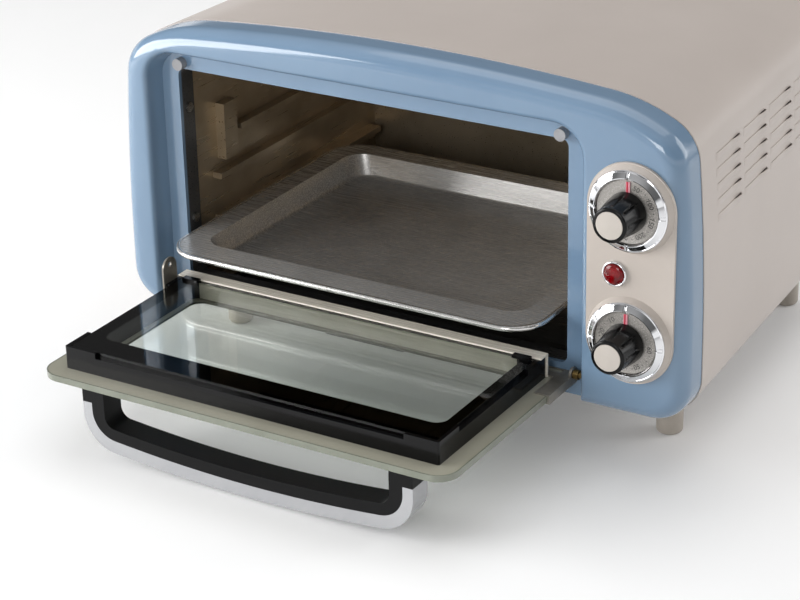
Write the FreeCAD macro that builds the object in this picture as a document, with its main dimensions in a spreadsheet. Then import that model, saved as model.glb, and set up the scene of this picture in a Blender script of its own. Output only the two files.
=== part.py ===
"""Electric countertop oven with a drop-down glass door, modelled with the door open.

Millimetres, +Z up, +X to the right seen from the front, the front faces -Y. The origin is the
centre of the outer box on the surface that the feet stand on. Driving sizes are in the sheet
Sizes, and the places worked out from them are in the sheet Layout. The cavity's opening is not
in the middle of the case: open_x is its centre. flange_y is the plane of the door's seat and
sill_z is the opening's lower edge, and most sizes named y, z, top or front start from those two.
"""
import FreeCAD, Part
import Sketcher
import math
import os
import re
from types import SimpleNamespace

Vector = FreeCAD.Vector
doc = FreeCAD.newDocument("countertop_oven")

SIZES = {
    # case outline seen from the front: crowned top, big shoulders, slightly bulging sides
    "case_width": 420.0,
    "case_height": 211.0,
    "case_depth": 282.0,
    "case_taper": 17.6,
    "case_sheet": 1.0,
    "case_rear_flange": 11.0,
    "case_rear_lip": 1.5,
    "floor_return": 28.0,
    "crown_angle": 5.04,
    "shoulder_radius": 115.0,
    "shoulder_angle": 28.0,
    "corner_radius": 30.0,
    "corner_angle": 85.0,
    "side_flat": 20.5,
    "bottom_radius": 26.0,
    # side louvres and the slots in the rear and bottom sheets
    "louvre_rows": 5.0,
    "louvre_columns": 5.0,
    "louvre_pitch_y": 47.0,
    "louvre_pitch_z": 9.7,
    "louvre_length": 40.0,
    "louvre_slot": 1.8,
    "louvre_first_y": 34.0,
    "louvre_drop": 107.8,
    "vent_length": 44.0,
    "vent_slot": 3.0,
    "vent_pitch": 10.0,
    "vent_rows": 6.0,
    "vent_drop": 123.0,
    # front bezel
    "bezel_back": 10.0,
    "bezel_rise": 15.0,
    "bezel_wall": 3.0,
    "bezel_inset": 0.6,
    "bezel_round": 12.0,
    "recess_side": 13.0,
    "recess_head": 11.5,
    "recess_corner": 18.0,
    "recess_flare": 4.0,
    "recess_lip": 4.0,
    "boss_diameter": 7.0,
    # door opening in the bezel
    "open_margin": 42.0,
    "control_band": 88.0,
    "open_top_margin": 40.0,
    "open_corner": 5.0,
    "sill_rise": 21.0,
    # feet, screws and clearances
    "foot_height": 40.5,
    "foot_diameter": 18.2,
    "foot_tip_diameter": 17.4,
    "foot_inset": 42.0,
    "foot_front_y": 56.0,
    "foot_back": 15.0,
    "foot_rear_inset": 12.0,
    "foot_round": 3.0,
    "screw_diameter": 3.8,
    "screw_head": 6.6,
    "screw_head_height": 1.5,
    "screw_length": 8.0,
    "part_gap": 0.3,
    "fit_gap": 0.05,
    "seat_gap": 0.2,
    # steel frame, cavity and base
    "steel_sheet": 0.8,
    "frame_sheet": 1.2,
    "frame_reach": 15.8,
    "frame_flange": 11.0,
    "frame_screw_y": 9.4,
    "frame_screw_drop": 30.5,
    "frame_screw_low": 40.0,
    "frame_screw_inset": 4.5,
    "base_sheet": 1.0,
    "rail_width": 10.0,
    "wall_return": 10.5,
    "wall_clear": 0.5,
    "wall_tab_inset": 10.0,
    "cavity_head": 8.0,
    "cavity_gap": 37.0,
    "rib_height": 4.0,
    "rib_reach": 7.0,
    "rib_low_z": 60.0,
    "rib_low_y": 34.0,
    "rib_high_z": 88.0,
    "rib_high_y": 61.0,
    "rib_post_y": 41.0,
    "rib_post_width": 15.0,
    "rib_post_low": 72.0,
    "rib_post_high": 112.0,
    # heating elements
    "heater_diameter": 6.5,
    "heater_overhang": 12.0,
    "heater_pin_diameter": 2.6,
    "heater_pin": 7.0,
    "heater_low_z": 6.0,
    "heater_drop": 11.0,
    "heater_front_y": 78.0,
    "heater_back": 69.0,
    "bush_diameter": 14.0,
    "bush_length": 7.0,
    # controls
    "control_inset": 37.5,
    "plate_width": 58.4,
    "plate_low_z": 5.6,
    "plate_drop": 0.3,
    "plate_thick": 2.0,
    "cone_low_diameter": 57.0,
    "cone_high_diameter": 52.4,
    "cone_height": 3.5,
    "ring_diameter": 52.0,
    "ring_bore": 40.8,
    "ring_height": 3.6,
    "ring_bevel": 2.4,
    "dial_diameter": 40.2,
    "dial_thick": 1.5,
    "pointer_hub": 25.0,
    "pointer_thick": 0.6,
    "pointer_width": 1.2,
    "pointer_reach": 19.4,
    "knob_base_diameter": 26.6,
    "knob_tip_diameter": 21.0,
    "knob_length": 23.4,
    "knob_flute_diameter": 5.0,
    "knob_flute_depth": 0.9,
    "knob_flutes": 8.0,
    "cap_diameter": 17.4,
    "cap_thick": 1.6,
    "cap_crown": 0.6,
    "shaft_diameter": 6.0,
    "shaft_in_knob": 14.0,
    "shaft_in_body": 10.0,
    "shaft_clear": 1.0,
    "bracket_gap": 3.8,
    "bracket_sheet": 1.2,
    "bracket_width": 52.0,
    "bracket_margin": 22.5,
    "bracket_bend": 9.0,
    "bracket_screw_x": 20.0,
    "bracket_screw_z": 15.5,
    "control_body_width": 34.0,
    "control_body_height": 30.0,
    "control_body_depth": 24.0,
    "lamp_offset": 9.7,
    "lamp_drop": 0.55,
    "lamp_ring_diameter": 16.4,
    "lamp_lens_diameter": 12.4,
    "lamp_ring_height": 2.4,
    "lamp_dome": 4.2,
    "lamp_shank_diameter": 10.0,
    "lamp_body_diameter": 11.2,
    "lamp_body_length": 18.0,
    # hinge and door
    "hinge_forward": 5.0,
    "hinge_drop": 3.5,
    "pin_diameter": 4.0,
    "pin_length": 10.2,
    "pin_collar_diameter": 6.4,
    "pin_collar": 3.5,
    "glass_overlap": 5.5,
    "glass_rise": 10.3,
    "glass_tail": 0.5,
    "glass_thick": 4.1,
    "glass_drop": 5.3,
    "glass_corner": 14.0,
    "glass_hinge_corner": 3.0,
    "door_frame_inset": 7.5,
    "door_frame_margin": 12.8,
    "door_frame_back": 14.0,
    "door_frame_height": 11.5,
    "door_frame_round": 1.5,
    "door_window_side": 11.5,
    "door_window_margin": 23.5,
    "door_window_back": 22.0,
    "door_window_corner": 8.0,
    "corner_arm": 24.0,
    "corner_wall": 2.6,
    "corner_height": 3.8,
    "inner_glass_thick": 3.5,
    "strip_sheet": 1.0,
    "strip_width": 9.5,
    "strip_overhang": 0.9,
    "bracket_arm": 38.0,
    "bracket_wall": 1.6,
    "bracket_foot": 8.5,
    "bracket_tongue": 19.5,
    "bracket_slot": 13.0,
    "bracket_slot_width": 5.0,
    "bracket_plate": 1.0,
    "bracket_eye": 9.0,
    "ear_sheet": 1.3,
    "ear_length": 15.0,
    "ear_back": 25.0,
    "ear_top": 27.4,
    "ear_hole": 3.6,
    "ear_hole_drop": 5.0,
    "clip_width": 12.0,
    "clip_depth": 4.5,
    "clip_height": 2.0,
    "bumper_diameter": 8.0,
    "bumper_length": 5.5,
    "bumper_inset": 3.5,
    "bumper_rise": 4.0,
    # handle
    "handle_width": 244.0,
    "handle_inset": 7.8,
    "handle_thick": 17.5,
    "handle_post": 16.5,
    "handle_cover_side": 7.0,
    "handle_cover_start": 13.5,
    "handle_gap": 33.6,
    "handle_core": 8.2,
    "handle_cover": 8.8,
    "handle_bow_radius": 1000.0,
    "handle_outer_round": 25.0,
    "handle_inner_round": 8.0,
    "handle_screw_back": 6.5,
    "handle_screw_length": 16.5,
    "handle_screw_diameter": 4.0,
    "handle_screw_head": 7.2,
    "handle_screw_head_height": 2.2,
    # baking tray
    "tray_side": 6.5,
    "tray_front": 38.8,
    "tray_back_gap": 51.8,
    "tray_rim_z": 35.5,
    "tray_rim_side": 16.0,
    "tray_rim_front": 21.0,
    "tray_sheet": 1.0,
    "tray_lip": 2.6,
    "tray_deep": 17.0,
    "tray_draft": 5.0,
    "tray_corner": 25.0,
    "tray_inner_corner": 16.0,
    "tray_bottom_round": 5.0,
    "tray_rest": 2.0,
    # crumb tray
    "crumb_side": 11.0,
    "crumb_back_gap": 9.0,
    "crumb_start": 4.0,
    "crumb_floor_drop": 17.7,
    "crumb_wall": 4.8,
    "crumb_sheet": 0.8,
    "crumb_face_overlap": 1.5,
    "crumb_face_thick": 1.2,
    "crumb_tab_width": 60.0,
    "crumb_tab_reach": 8.0,
    # supply
    "gland_diameter": 16.0,
    "gland_bore": 7.0,
    "gland_neck": 12.0,
    "gland_out": 8.0,
    "gland_nut": 3.0,
    "gland_inset": 90.0,
    "gland_z": 52.0,
    "terminal_length": 40.0,
    "terminal_width": 18.0,
    "terminal_height": 16.0,
    "terminal_side": 12.0,
    "terminal_back": 20.0,
    "terminal_bore": 3.2,
    "terminal_ways": 3.0,
}

LAYOUT = {
    "open_width": "case_width - open_margin - control_band",
    "open_height": "case_height - sill_rise - open_top_margin",
    "open_x": "(open_margin - control_band) / 2",
    "recess_width": "open_width + 2 * recess_side",
    "recess_top": "open_height + recess_head",
    "foot_x": "case_width / 2 - foot_inset",
    "foot_rear_y": "bezel_back + case_depth - foot_back",
    "case_floor_gap": "foot_x - floor_return",
    "louvre_first_z": "case_height - louvre_drop",
    "vent_z": "case_height - vent_drop",
    "frame_screw_high": "open_height - frame_screw_drop",
    "cavity_top": "open_height + cavity_head",
    "cavity_back": "case_depth - cavity_gap",
    "heater_high_z": "cavity_top - heater_drop",
    "heater_rear_y": "cavity_back - heater_back",
    "glass_width": "open_width + 2 * glass_overlap",
    "glass_reach": "open_height + glass_rise",
    "door_frame_width": "open_width - 2 * door_frame_inset",
    "door_frame_front": "glass_reach - door_frame_margin",
    "door_window_width": "door_frame_width - 2 * door_window_side",
    "door_window_front": "door_frame_front - door_window_margin",
    "clip_x": "door_window_width / 2",
    "bumper_x": "open_width / 2 - bumper_inset",
    "bumper_z": "open_height + bumper_rise",
    "handle_front": "glass_reach - handle_inset",
    "tray_width": "open_width - 2 * tray_side",
    "tray_depth": "tray_front + cavity_back - tray_back_gap",
    "crumb_width": "open_width - 2 * crumb_side",
    "crumb_depth": "cavity_back - crumb_start - crumb_back_gap",
    "gland_x": "case_width / 2 - gland_inset",
    "back_reach": "bezel_back + case_depth + gland_out",
    "flange_y": "(glass_reach - back_reach) / 2",
    "case_front_y": "flange_y + bezel_back",
    "case_back_y": "case_front_y + case_depth",
    "crest_y": "flange_y - bezel_rise",
    "bezel_inner_y": "crest_y + bezel_wall",
    "rear_panel_y": "case_back_y - case_rear_lip - case_sheet",
    "rear_panel_back_y": "rear_panel_y + case_sheet",
    "sill_z": "foot_height + sill_rise",
    "top_z": "foot_height + case_height",
    "base_low_z": "foot_height + case_sheet",
    "base_top_z": "base_low_z + base_sheet",
    "foot_front": "flange_y + foot_front_y",
    "foot_rear": "flange_y + foot_rear_y",
    "foot_rear_x": "foot_x - foot_rear_inset",
    "open_left_x": "open_x - open_width / 2",
    "open_right_x": "open_x + open_width / 2",
    "open_top_z": "sill_z + open_height",
    "frame_front_y": "flange_y + bezel_wall",
    "frame_back_y": "flange_y + frame_reach",
    "frame_screw_line": "flange_y + frame_screw_y",
    "cavity_left_x": "open_left_x - frame_sheet",
    "cavity_right_x": "open_right_x + frame_sheet",
    "cavity_top_z": "sill_z + cavity_top",
    "cavity_front_y": "frame_front_y + frame_sheet + part_gap",
    "cavity_back_y": "flange_y + cavity_back",
    "tray_rim_top_z": "sill_z + tray_rim_z",
    "tray_rest_z": "tray_rim_top_z - tray_lip - seat_gap",
    "tray_front_y": "flange_y - tray_front",
    "tray_left_x": "open_x - tray_width / 2",
    "tray_rib_reach": "(cavity_right_x - cavity_left_x - tray_width) / 2 + tray_rest",
    "hinge_y": "flange_y - hinge_forward",
    "hinge_z": "sill_z - hinge_drop",
    "glass_top_z": "sill_z - glass_drop",
    "glass_low_z": "glass_top_z - glass_thick",
    "glass_left_x": "open_x - glass_width / 2",
    "glass_right_x": "open_x + glass_width / 2",
    "glass_front_y": "flange_y - glass_reach",
    "glass_back_y": "flange_y - glass_tail",
    "door_left_x": "open_x - door_frame_width / 2",
    "door_right_x": "open_x + door_frame_width / 2",
    "door_front_y": "flange_y - door_frame_front",
    "door_back_y": "flange_y - door_frame_back",
    "door_deck_z": "glass_top_z + door_frame_height",
    "inner_glass_top_z": "door_deck_z + inner_glass_thick",
    "strip_low_z": "door_deck_z + corner_height",
    "strip_back_y": "door_back_y + strip_sheet",
    "strip_front_y": "strip_back_y - strip_width",
    "handle_front_y": "flange_y - handle_front",
    "handle_back_y": "handle_front_y + handle_thick",
    "handle_screw_x": "(handle_width - handle_post) / 2",
    "handle_screw_y": "handle_back_y - handle_screw_back",
    "control_mid_x": "case_width / 2 - control_inset",
    "plate_face_y": "crest_y - plate_thick",
    "plate_bottom_z": "sill_z + plate_low_z",
    "plate_top_z": "open_top_z - plate_drop",
    "upper_z": "plate_top_z - plate_width / 2",
    "lower_z": "plate_bottom_z + plate_width / 2",
    "control_mid_z": "(upper_z + lower_z) / 2",
    "lamp_mid_z": "control_mid_z - lamp_drop",
    "cone_face_y": "plate_face_y - cone_height",
    "dial_face_y": "cone_face_y - dial_thick",
    "pointer_back_y": "dial_face_y - part_gap",
    "knob_back_y": "pointer_back_y - pointer_thick",
    "knob_face_y": "knob_back_y - knob_length",
    "cap_back_y": "knob_face_y + cap_thick",
    "bracket_front_y": "bezel_inner_y + bracket_gap",
    "bracket_back_y": "bracket_front_y + bracket_sheet",
    "lamp_mid_x": "control_mid_x - lamp_offset",
    "crumb_low_z": "sill_z - crumb_floor_drop",
    "crumb_top_z": "crumb_low_z + crumb_wall",
    "wall_low_z": "crumb_top_z + wall_clear",
    "crumb_left_x": "open_x - crumb_width / 2",
    "crumb_right_x": "open_x + crumb_width / 2",
    "crumb_face_y": "flange_y - part_gap",
    "crumb_front_y": "flange_y + crumb_start",
}


def located(text):
    """The expression with each size's and place's name replaced by its address in the sheets."""
    def address(match):
        name = match.group(0)
        if name in SIZES:
            return "Sizes." + name
        return "Layout." + name if name in LAYOUT else name
    return re.sub(r"[a-z][a-z0-9_]*", address, str(text))


def make_sheets():
    """Fill the two sheets and return every value of both under its own name."""
    sizes = doc.addObject("Spreadsheet::Sheet", "Sizes")
    for row, (name, value) in enumerate(SIZES.items(), start=1):
        sizes.set(f"A{row}", name)
        sizes.set(f"B{row}", str(value))
        sizes.setAlias(f"B{row}", name)
    doc.recompute()
    layout = doc.addObject("Spreadsheet::Sheet", "Layout")
    for row, (name, text) in enumerate(LAYOUT.items(), start=1):
        layout.set(f"A{row}", name)
        layout.set(f"B{row}", "=" + located(text).replace("Layout.", ""))
        layout.setAlias(f"B{row}", name)
    doc.recompute()
    values = {name: float(sizes.get(name)) for name in SIZES}
    values.update({name: float(layout.get(name)) for name in LAYOUT})
    return SimpleNamespace(**values)


d = make_sheets()
sub_parts = []


def keep(name, feature):
    """Make a document object the finished sub-part with this name."""
    feature.Label = name
    sub_parts.append((name, feature))


def bind(target, **texts):
    """Bind the properties named in texts to expressions on the sheets."""
    for prop, text in texts.items():
        target.setExpression(prop, located(text))
    return target


def place(target, corner):
    """Bind an object's position to three expressions."""
    for axis, text in zip("xyz", corner):
        target.setExpression(f"Placement.Base.{axis}", located(text))
    return target


def span(name, x, y, z):
    """A box between two places along each axis."""
    solid = doc.addObject("Part::Box", name)
    length, width, height = (f"({high}) - ({low})" for low, high in (x, y, z))
    bind(solid, Length=length, Width=width, Height=height)
    return place(solid, (x[0], y[0], z[0]))


ALONG = {
    "x": FreeCAD.Rotation(Vector(0, 1, 0), 90),
    "y": FreeCAD.Rotation(Vector(1, 0, 0), -90),
    "z": FreeCAD.Rotation(),
}


def rod(name, start, axis, diameter, length):
    """A cylinder that starts at a point and runs along +X, +Y or +Z."""
    solid = doc.addObject("Part::Cylinder", name)
    solid.Placement = FreeCAD.Placement(Vector(), ALONG[axis])
    bind(solid, Radius=f"({diameter}) / 2", Height=length)
    return place(solid, start)


def taper(name, start, axis, start_diameter, end_diameter, length):
    """A cone frustum that starts at a point and runs along +X, +Y or +Z."""
    solid = doc.addObject("Part::Cone", name)
    solid.Placement = FreeCAD.Placement(Vector(), ALONG[axis])
    bind(solid, Radius1=f"({start_diameter}) / 2", Radius2=f"({end_diameter}) / 2", Height=length)
    return place(solid, start)


def fuse(name, *solids):
    """One solid from several that touch or overlap."""
    joined = doc.addObject("Part::MultiFuse", name)
    joined.Shapes = list(solids)
    joined.Refine = True
    return joined


def cut(name, base, *tools):
    """A solid with others taken away from it."""
    result = doc.addObject("Part::Cut", name)
    result.Base = base
    result.Tool = tools[0] if len(tools) == 1 else group(name + "_tools", *tools)
    result.Refine = True
    return result


def group(name, *solids):
    """Pieces kept as separate solids in one object."""
    together = doc.addObject("Part::Compound", name)
    together.Links = list(solids)
    return together


def rounded(name, solid, radius, choose):
    """A solid with the chosen edges rounded."""
    doc.recompute()
    fillet = doc.addObject("Part::Fillet", name)
    fillet.Base = solid
    fillet.Edges = [(number, radius, radius)
                    for number, edge in enumerate(solid.Shape.Edges, start=1) if choose(edge)]
    return fillet


def runs_along(axis, edge):
    """Whether a straight edge runs along an axis."""
    index = "xyz".index(axis)
    reach = edge.Vertexes[-1].Point - edge.Vertexes[0].Point
    return edge.Length > 0 and abs(abs(reach[index]) - edge.Length) < 1e-6


def origin_plane(body, role):
    """One of a body's own origin planes, by its role."""
    return next(feature for feature in body.Origin.OriginFeatures if feature.Role == role)


def turned(name, points, place_x, place_z, axis="y"):
    """A body turned about an axis along Y or Z from (radius, height) expressions.

    Heights are measured along the axis from the origin, so the profile keeps its true place.
    """
    body = doc.addObject("PartDesign::Body", name + "_body")
    sketch = body.newObject("Sketcher::SketchObject", name + "_profile")
    role = "XY_Plane" if axis == "y" else "XZ_Plane"
    sketch.AttachmentSupport = [(origin_plane(body, role), "")]
    sketch.MapMode = "FlatFace"
    count = len(points)
    turns = [2 * math.pi * index / count for index in range(count + 1)]
    start = [Vector(30 * math.cos(turn), 30 * math.sin(turn), 0) for turn in turns]
    for index in range(count):
        sketch.addGeometry(Part.LineSegment(start[index], start[index + 1]), False)
    for index in range(count):
        sketch.addConstraint(Sketcher.Constraint("Coincident", index, 2, (index + 1) % count, 1))
    for index, (radius, height) in enumerate(points):
        for kind, text, zero_axis in (("DistanceX", radius, -2), ("DistanceY", height, -1)):
            if text == "0":
                sketch.addConstraint(Sketcher.Constraint("PointOnObject", index, 1, zero_axis))
            else:
                row = sketch.addConstraint(Sketcher.Constraint(kind, -1, 1, index, 1, 1.0))
                sketch.setExpression(f"Constraints[{row}]", located(text))
    turn = body.newObject("PartDesign::Revolution", name + "_turn")
    turn.Profile = sketch
    turn.ReferenceAxis = (sketch, ["V_Axis"])
    turn.Angle = 360
    if axis == "y":
        return place(body, (place_x, "0", place_z))
    return place(body, (place_x, place_z, "0"))


def soften(body, radius, choose):
    """Round the chosen edges of a body's last feature."""
    doc.recompute()
    last = body.Tip
    names = [f"Edge{number}" for number, edge in enumerate(last.Shape.Edges, start=1)
             if choose(edge)]
    fillet = body.newObject("PartDesign::Fillet", body.Name + "_round")
    fillet.Base = (last, names)
    return bind(fillet, Radius=radius)


def plain(name, shape):
    """An object whose outline follows a formula of the sheets' values."""
    feature = doc.addObject("Part::Feature", name)
    feature.Shape = shape
    feature.Placement = FreeCAD.Placement()
    return feature


def block(low, high):
    """A plain box shape between two corners."""
    return Part.makeBox(*[end - start for start, end in zip(low, high)], Vector(*low))


def fused(shapes):
    """Shapes joined into one and cleaned of seams."""
    return shapes[0].multiFuse(shapes[1:]).removeSplitter()


def arc(centre, radius, first, last, y):
    """A circular arc in a plane across Y, by its angles in degrees from +X towards +Z."""
    angles = [math.radians(first + (last - first) * share) for share in (0, 0.5, 1)]
    points = [Vector(centre[0] + radius * math.cos(angle), y, centre[1] + radius * math.sin(angle))
              for angle in angles]
    return Part.Arc(*points).toShape()


def case_wire(width, inset, y):
    """The case's outline across Y: crown, shoulders, corners, sides and flat bottom.

    Every arc runs on into the next without a kink, so an inset outline has the same arcs with
    smaller radii about the same centres. The crown's and the side's radii are those that make
    the arcs span the half width and the height above the straight foot of the side.
    """
    crown, shoulder, corner = (math.radians(angle)
                               for angle in (d.crown_angle, d.shoulder_angle, d.corner_angle))
    rest = d.shoulder_radius * (math.sin(shoulder) - math.sin(crown))
    rest += d.corner_radius * (math.sin(corner) - math.sin(shoulder))
    fall = d.shoulder_radius * (math.cos(crown) - math.cos(shoulder))
    fall += d.corner_radius * (math.cos(shoulder) - math.cos(corner))
    reach = width / 2 - rest
    drop = d.case_height - d.bottom_radius - d.side_flat - fall
    scale = math.sin(crown) * math.cos(corner) - (1 - math.sin(corner)) * (1 - math.cos(crown))
    crown_radius = (reach * math.cos(corner) - drop * (1 - math.sin(corner))) / scale
    side_radius = (drop * math.sin(crown) - reach * (1 - math.cos(crown))) / scale
    turns = [(crown_radius, 0.0, crown), (d.shoulder_radius, crown, shoulder),
             (d.corner_radius, shoulder, corner), (side_radius, corner, math.pi / 2)]
    x, z = 0.0, d.top_z
    spans = []
    for radius, first, last in turns:
        centre = (x - radius * math.sin(first), z - radius * math.cos(first))
        spans.append((centre, radius - inset, 90 - math.degrees(first), 90 - math.degrees(last)))
        x = centre[0] + radius * math.sin(last)
        z = centre[1] + radius * math.cos(last)
    low = (width / 2 - d.bottom_radius, d.foot_height + d.bottom_radius)
    spans.append((low, d.bottom_radius - inset, 0, -90))
    edges = []
    for centre, radius, first, last in spans:
        edges.append(arc(centre, radius, first, last, y))
        edges.append(arc((-centre[0], centre[1]), radius, 180 - first, 180 - last, y))
    side = width / 2 - inset
    floor = d.foot_height + inset
    for start, end in (((side, z), (side, low[1])), ((-side, z), (-side, low[1])),
                       ((low[0], floor), (-low[0], floor))):
        edges.append(Part.makeLine(Vector(start[0], y, start[1]), Vector(end[0], y, end[1])))
    return Part.Wire(Part.__sortEdges__(edges))


def width_at(y):
    """The case's width at a depth: it narrows evenly from the front to the back."""
    return d.case_width - 2 * d.case_taper * (y - d.case_front_y) / d.case_depth


def case_solid(inset, start_y, end_y):
    """The filled case between two depths, with its outline moved inwards."""
    return Part.makeLoft([case_wire(width_at(y), inset, y) for y in (start_y, end_y)], True, True)


def screw_shapes(points, start_y, length):
    """Pan-head screws along Y whose heads sit on the plane start_y and whose shanks go to -Y."""
    screws = []
    for x, z in points:
        head = Part.makeCylinder(d.screw_head / 2, d.screw_head_height, Vector(x, start_y, z),
                                 Vector(0, 1, 0))
        shank = Part.makeCylinder(d.screw_diameter / 2, length, Vector(x, start_y - length, z),
                                  Vector(0, 1, 0))
        screws.append(head.fuse(shank).removeSplitter())
    return screws


def bores(points, diameter, start_y, end_y):
    """Round holes along Y between two depths."""
    return [Part.makeCylinder(diameter / 2, end_y - start_y, Vector(x, start_y, z),
                              Vector(0, 1, 0)) for x, z in points]


def rear_screw_points():
    """Places of the six screws that hold the rear panel to the wrap's rear flange."""
    inset = (d.case_sheet + d.case_rear_flange) / 2
    side = width_at(d.case_back_y) / 2 - inset
    low = d.foot_height + d.bottom_radius + inset
    high = d.top_z - d.case_height / 2
    return [(-side, low), (side, low), (-side, high), (side, high),
            (-d.vent_length, d.top_z - inset), (d.vent_length, d.top_z - inset)]


def make_casing():
    """Wrap of steel sheet with a rear flange, side louvres and an open bottom."""
    inside = case_solid(d.case_sheet, d.case_front_y - 1, d.case_back_y + 1)
    shell = case_solid(0.0, d.case_front_y, d.case_back_y).cut(inside)
    ring = case_solid(d.case_sheet / 2, d.rear_panel_y - d.case_sheet, d.rear_panel_y)
    ring = ring.cut(case_solid(d.case_rear_flange, d.case_front_y, d.case_back_y))
    tools = [block((-d.case_floor_gap, d.case_front_y - 1, 0),
                   (d.case_floor_gap, d.case_back_y + 1, d.foot_height + d.bottom_radius))]
    for row in range(int(d.louvre_rows)):
        for column in range(int(d.louvre_columns)):
            y = d.flange_y + d.louvre_first_y + column * d.louvre_pitch_y
            z = d.sill_z + d.louvre_first_z + row * d.louvre_pitch_z
            tools.append(block((-d.case_width, y, z),
                               (d.case_width, y + d.louvre_length, z + d.louvre_slot)))
    screw_hole = d.screw_diameter + 2 * d.fit_gap
    tools += bores(rear_screw_points(), screw_hole, d.rear_panel_y - 2 * d.case_sheet,
                   d.rear_panel_y + d.case_sheet)
    for x, y in foot_points():
        tools.append(Part.makeCylinder(screw_hole / 2, 4 * d.case_sheet,
                                       Vector(x, y, d.foot_height - d.case_sheet)))
    keep("outer_casing", plain("outer_casing", fused([shell, ring]).cut(tools)))


def make_rear_panel():
    """Rear sheet inside the wrap, with vents and the hole for the cord's gland."""
    shape = case_solid(d.case_sheet + d.part_gap, d.rear_panel_y, d.rear_panel_back_y)
    front, back = d.rear_panel_y - 1, d.rear_panel_back_y + 1
    tools = [block((-d.case_width, front, 0), (d.case_width, back, d.base_top_z + d.part_gap))]
    tools += bores([(d.gland_x, d.gland_z)], d.gland_neck + 2 * d.fit_gap, front, back)
    tools += bores(rear_screw_points(), d.screw_diameter + 2 * d.fit_gap, front, back)
    for middle in (-d.vent_length, 0, d.vent_length):
        for row in range(int(d.vent_rows)):
            z = d.sill_z + d.vent_z + row * d.vent_pitch
            half = d.vent_length / 2 - d.vent_slot
            tools.append(block((middle - half, front, z), (middle + half, back, z + d.vent_slot)))
    keep("rear_panel", plain("rear_panel", shape.cut(tools)))
    screws = screw_shapes(rear_screw_points(), d.rear_panel_back_y, d.screw_length)
    keep("rear_screws", plain("rear_screws", Part.makeCompound(screws)))


def foot_points():
    """Centres of the four feet: front pair, then rear pair."""
    return [(-d.foot_x, d.foot_front), (d.foot_x, d.foot_front),
            (-d.foot_rear_x, d.foot_rear), (d.foot_rear_x, d.foot_rear)]


def make_base_pan():
    """Bottom sheet that lies on the wrap's returns, with rails for the crumb tray."""
    end = d.rear_panel_y - d.case_sheet
    slab = case_solid(d.case_sheet + d.fit_gap, d.case_front_y, end)
    slab = slab.common(block((-d.case_width, d.case_front_y, d.base_low_z),
                             (d.case_width, end, d.base_top_z)))
    rails = []
    for middle in (d.crumb_left_x + d.rail_width, d.crumb_right_x - d.rail_width):
        rails.append(block((middle - d.rail_width / 2, d.case_front_y, d.base_low_z),
                           (middle + d.rail_width / 2, d.cavity_back_y - d.case_sheet,
                            d.crumb_low_z - d.seat_gap)))
    tools = []
    for x, y in foot_points():
        tools.append(Part.makeCylinder(d.screw_diameter / 2 + d.fit_gap, 4 * d.base_sheet,
                                       Vector(x, y, d.base_low_z - d.base_sheet)))
    for row in range(int(d.vent_rows)):
        y = d.foot_front + (row + 2) * d.vent_pitch
        tools.append(block((d.control_mid_x - d.vent_length / 2, y, 0),
                           (d.control_mid_x, y + d.vent_slot, d.sill_z)))
    keep("base_pan", plain("base_pan", fused([slab] + rails).cut(tools)))


def make_feet():
    """Four turned feet with a bore for the screw, and the screws that hold them."""
    corners = {"foot_front_left": ("-foot_x", "foot_front"),
               "foot_front_right": ("foot_x", "foot_front"),
               "foot_rear_left": ("-foot_rear_x", "foot_rear"),
               "foot_rear_right": ("foot_rear_x", "foot_rear")}
    bore = "screw_diameter / 2 + fit_gap"
    profile = [(bore, "0"), ("foot_tip_diameter / 2", "0"), ("foot_diameter / 2", "foot_height"),
               (bore, "foot_height")]
    screws = []
    for name, (x, y) in corners.items():
        body = turned(name, profile, x, y, axis="z")
        soften(body, "foot_round", lambda edge: len(edge.Vertexes) == 1
               and edge.CenterOfMass.z < d.foot_round and edge.Length > d.foot_diameter * 2)
        keep(name, body)
        head = rod(name + "_screw_head", (x, y, "base_top_z"), "z", "screw_head",
                   "screw_head_height")
        shank = rod(name + "_screw_shank", (x, y, "base_top_z - screw_length - base_sheet"), "z",
                    "screw_diameter", "screw_length + base_sheet")
        screws.append(fuse(name + "_screw", head, shank))
    keep("foot_screws", group("foot_screws", *screws))


def rounded_rect(low, high, radius, level, across):
    """A rounded rectangle as a wire across Y or across Z, between two corners."""
    def point(u, v):
        return Vector(u, level, v) if across == "y" else Vector(u, v, level)

    edges = []
    corners = [(high[0] - radius, high[1] - radius, 0), (low[0] + radius, high[1] - radius, 90),
               (low[0] + radius, low[1] + radius, 180), (high[0] - radius, low[1] + radius, 270)]
    ends = []
    for u, v, first in corners:
        bend = [point(u + radius * math.cos(math.radians(first + turn)),
                      v + radius * math.sin(math.radians(first + turn))) for turn in (0, 45, 90)]
        edges.append(Part.Arc(*bend).toShape())
        ends.append((bend[0], bend[2]))
    for index in range(4):
        edges.append(Part.makeLine(ends[index][1], ends[(index + 1) % 4][0]))
    return Part.Wire(Part.__sortEdges__(edges))


def rounded_prism(low, high, radius, start, end, across):
    """A rounded rectangle pushed along Y or Z."""
    push = Vector(0, end - start, 0) if across == "y" else Vector(0, 0, end - start)
    return Part.Face(rounded_rect(low, high, radius, start, across)).extrude(push)


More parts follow.
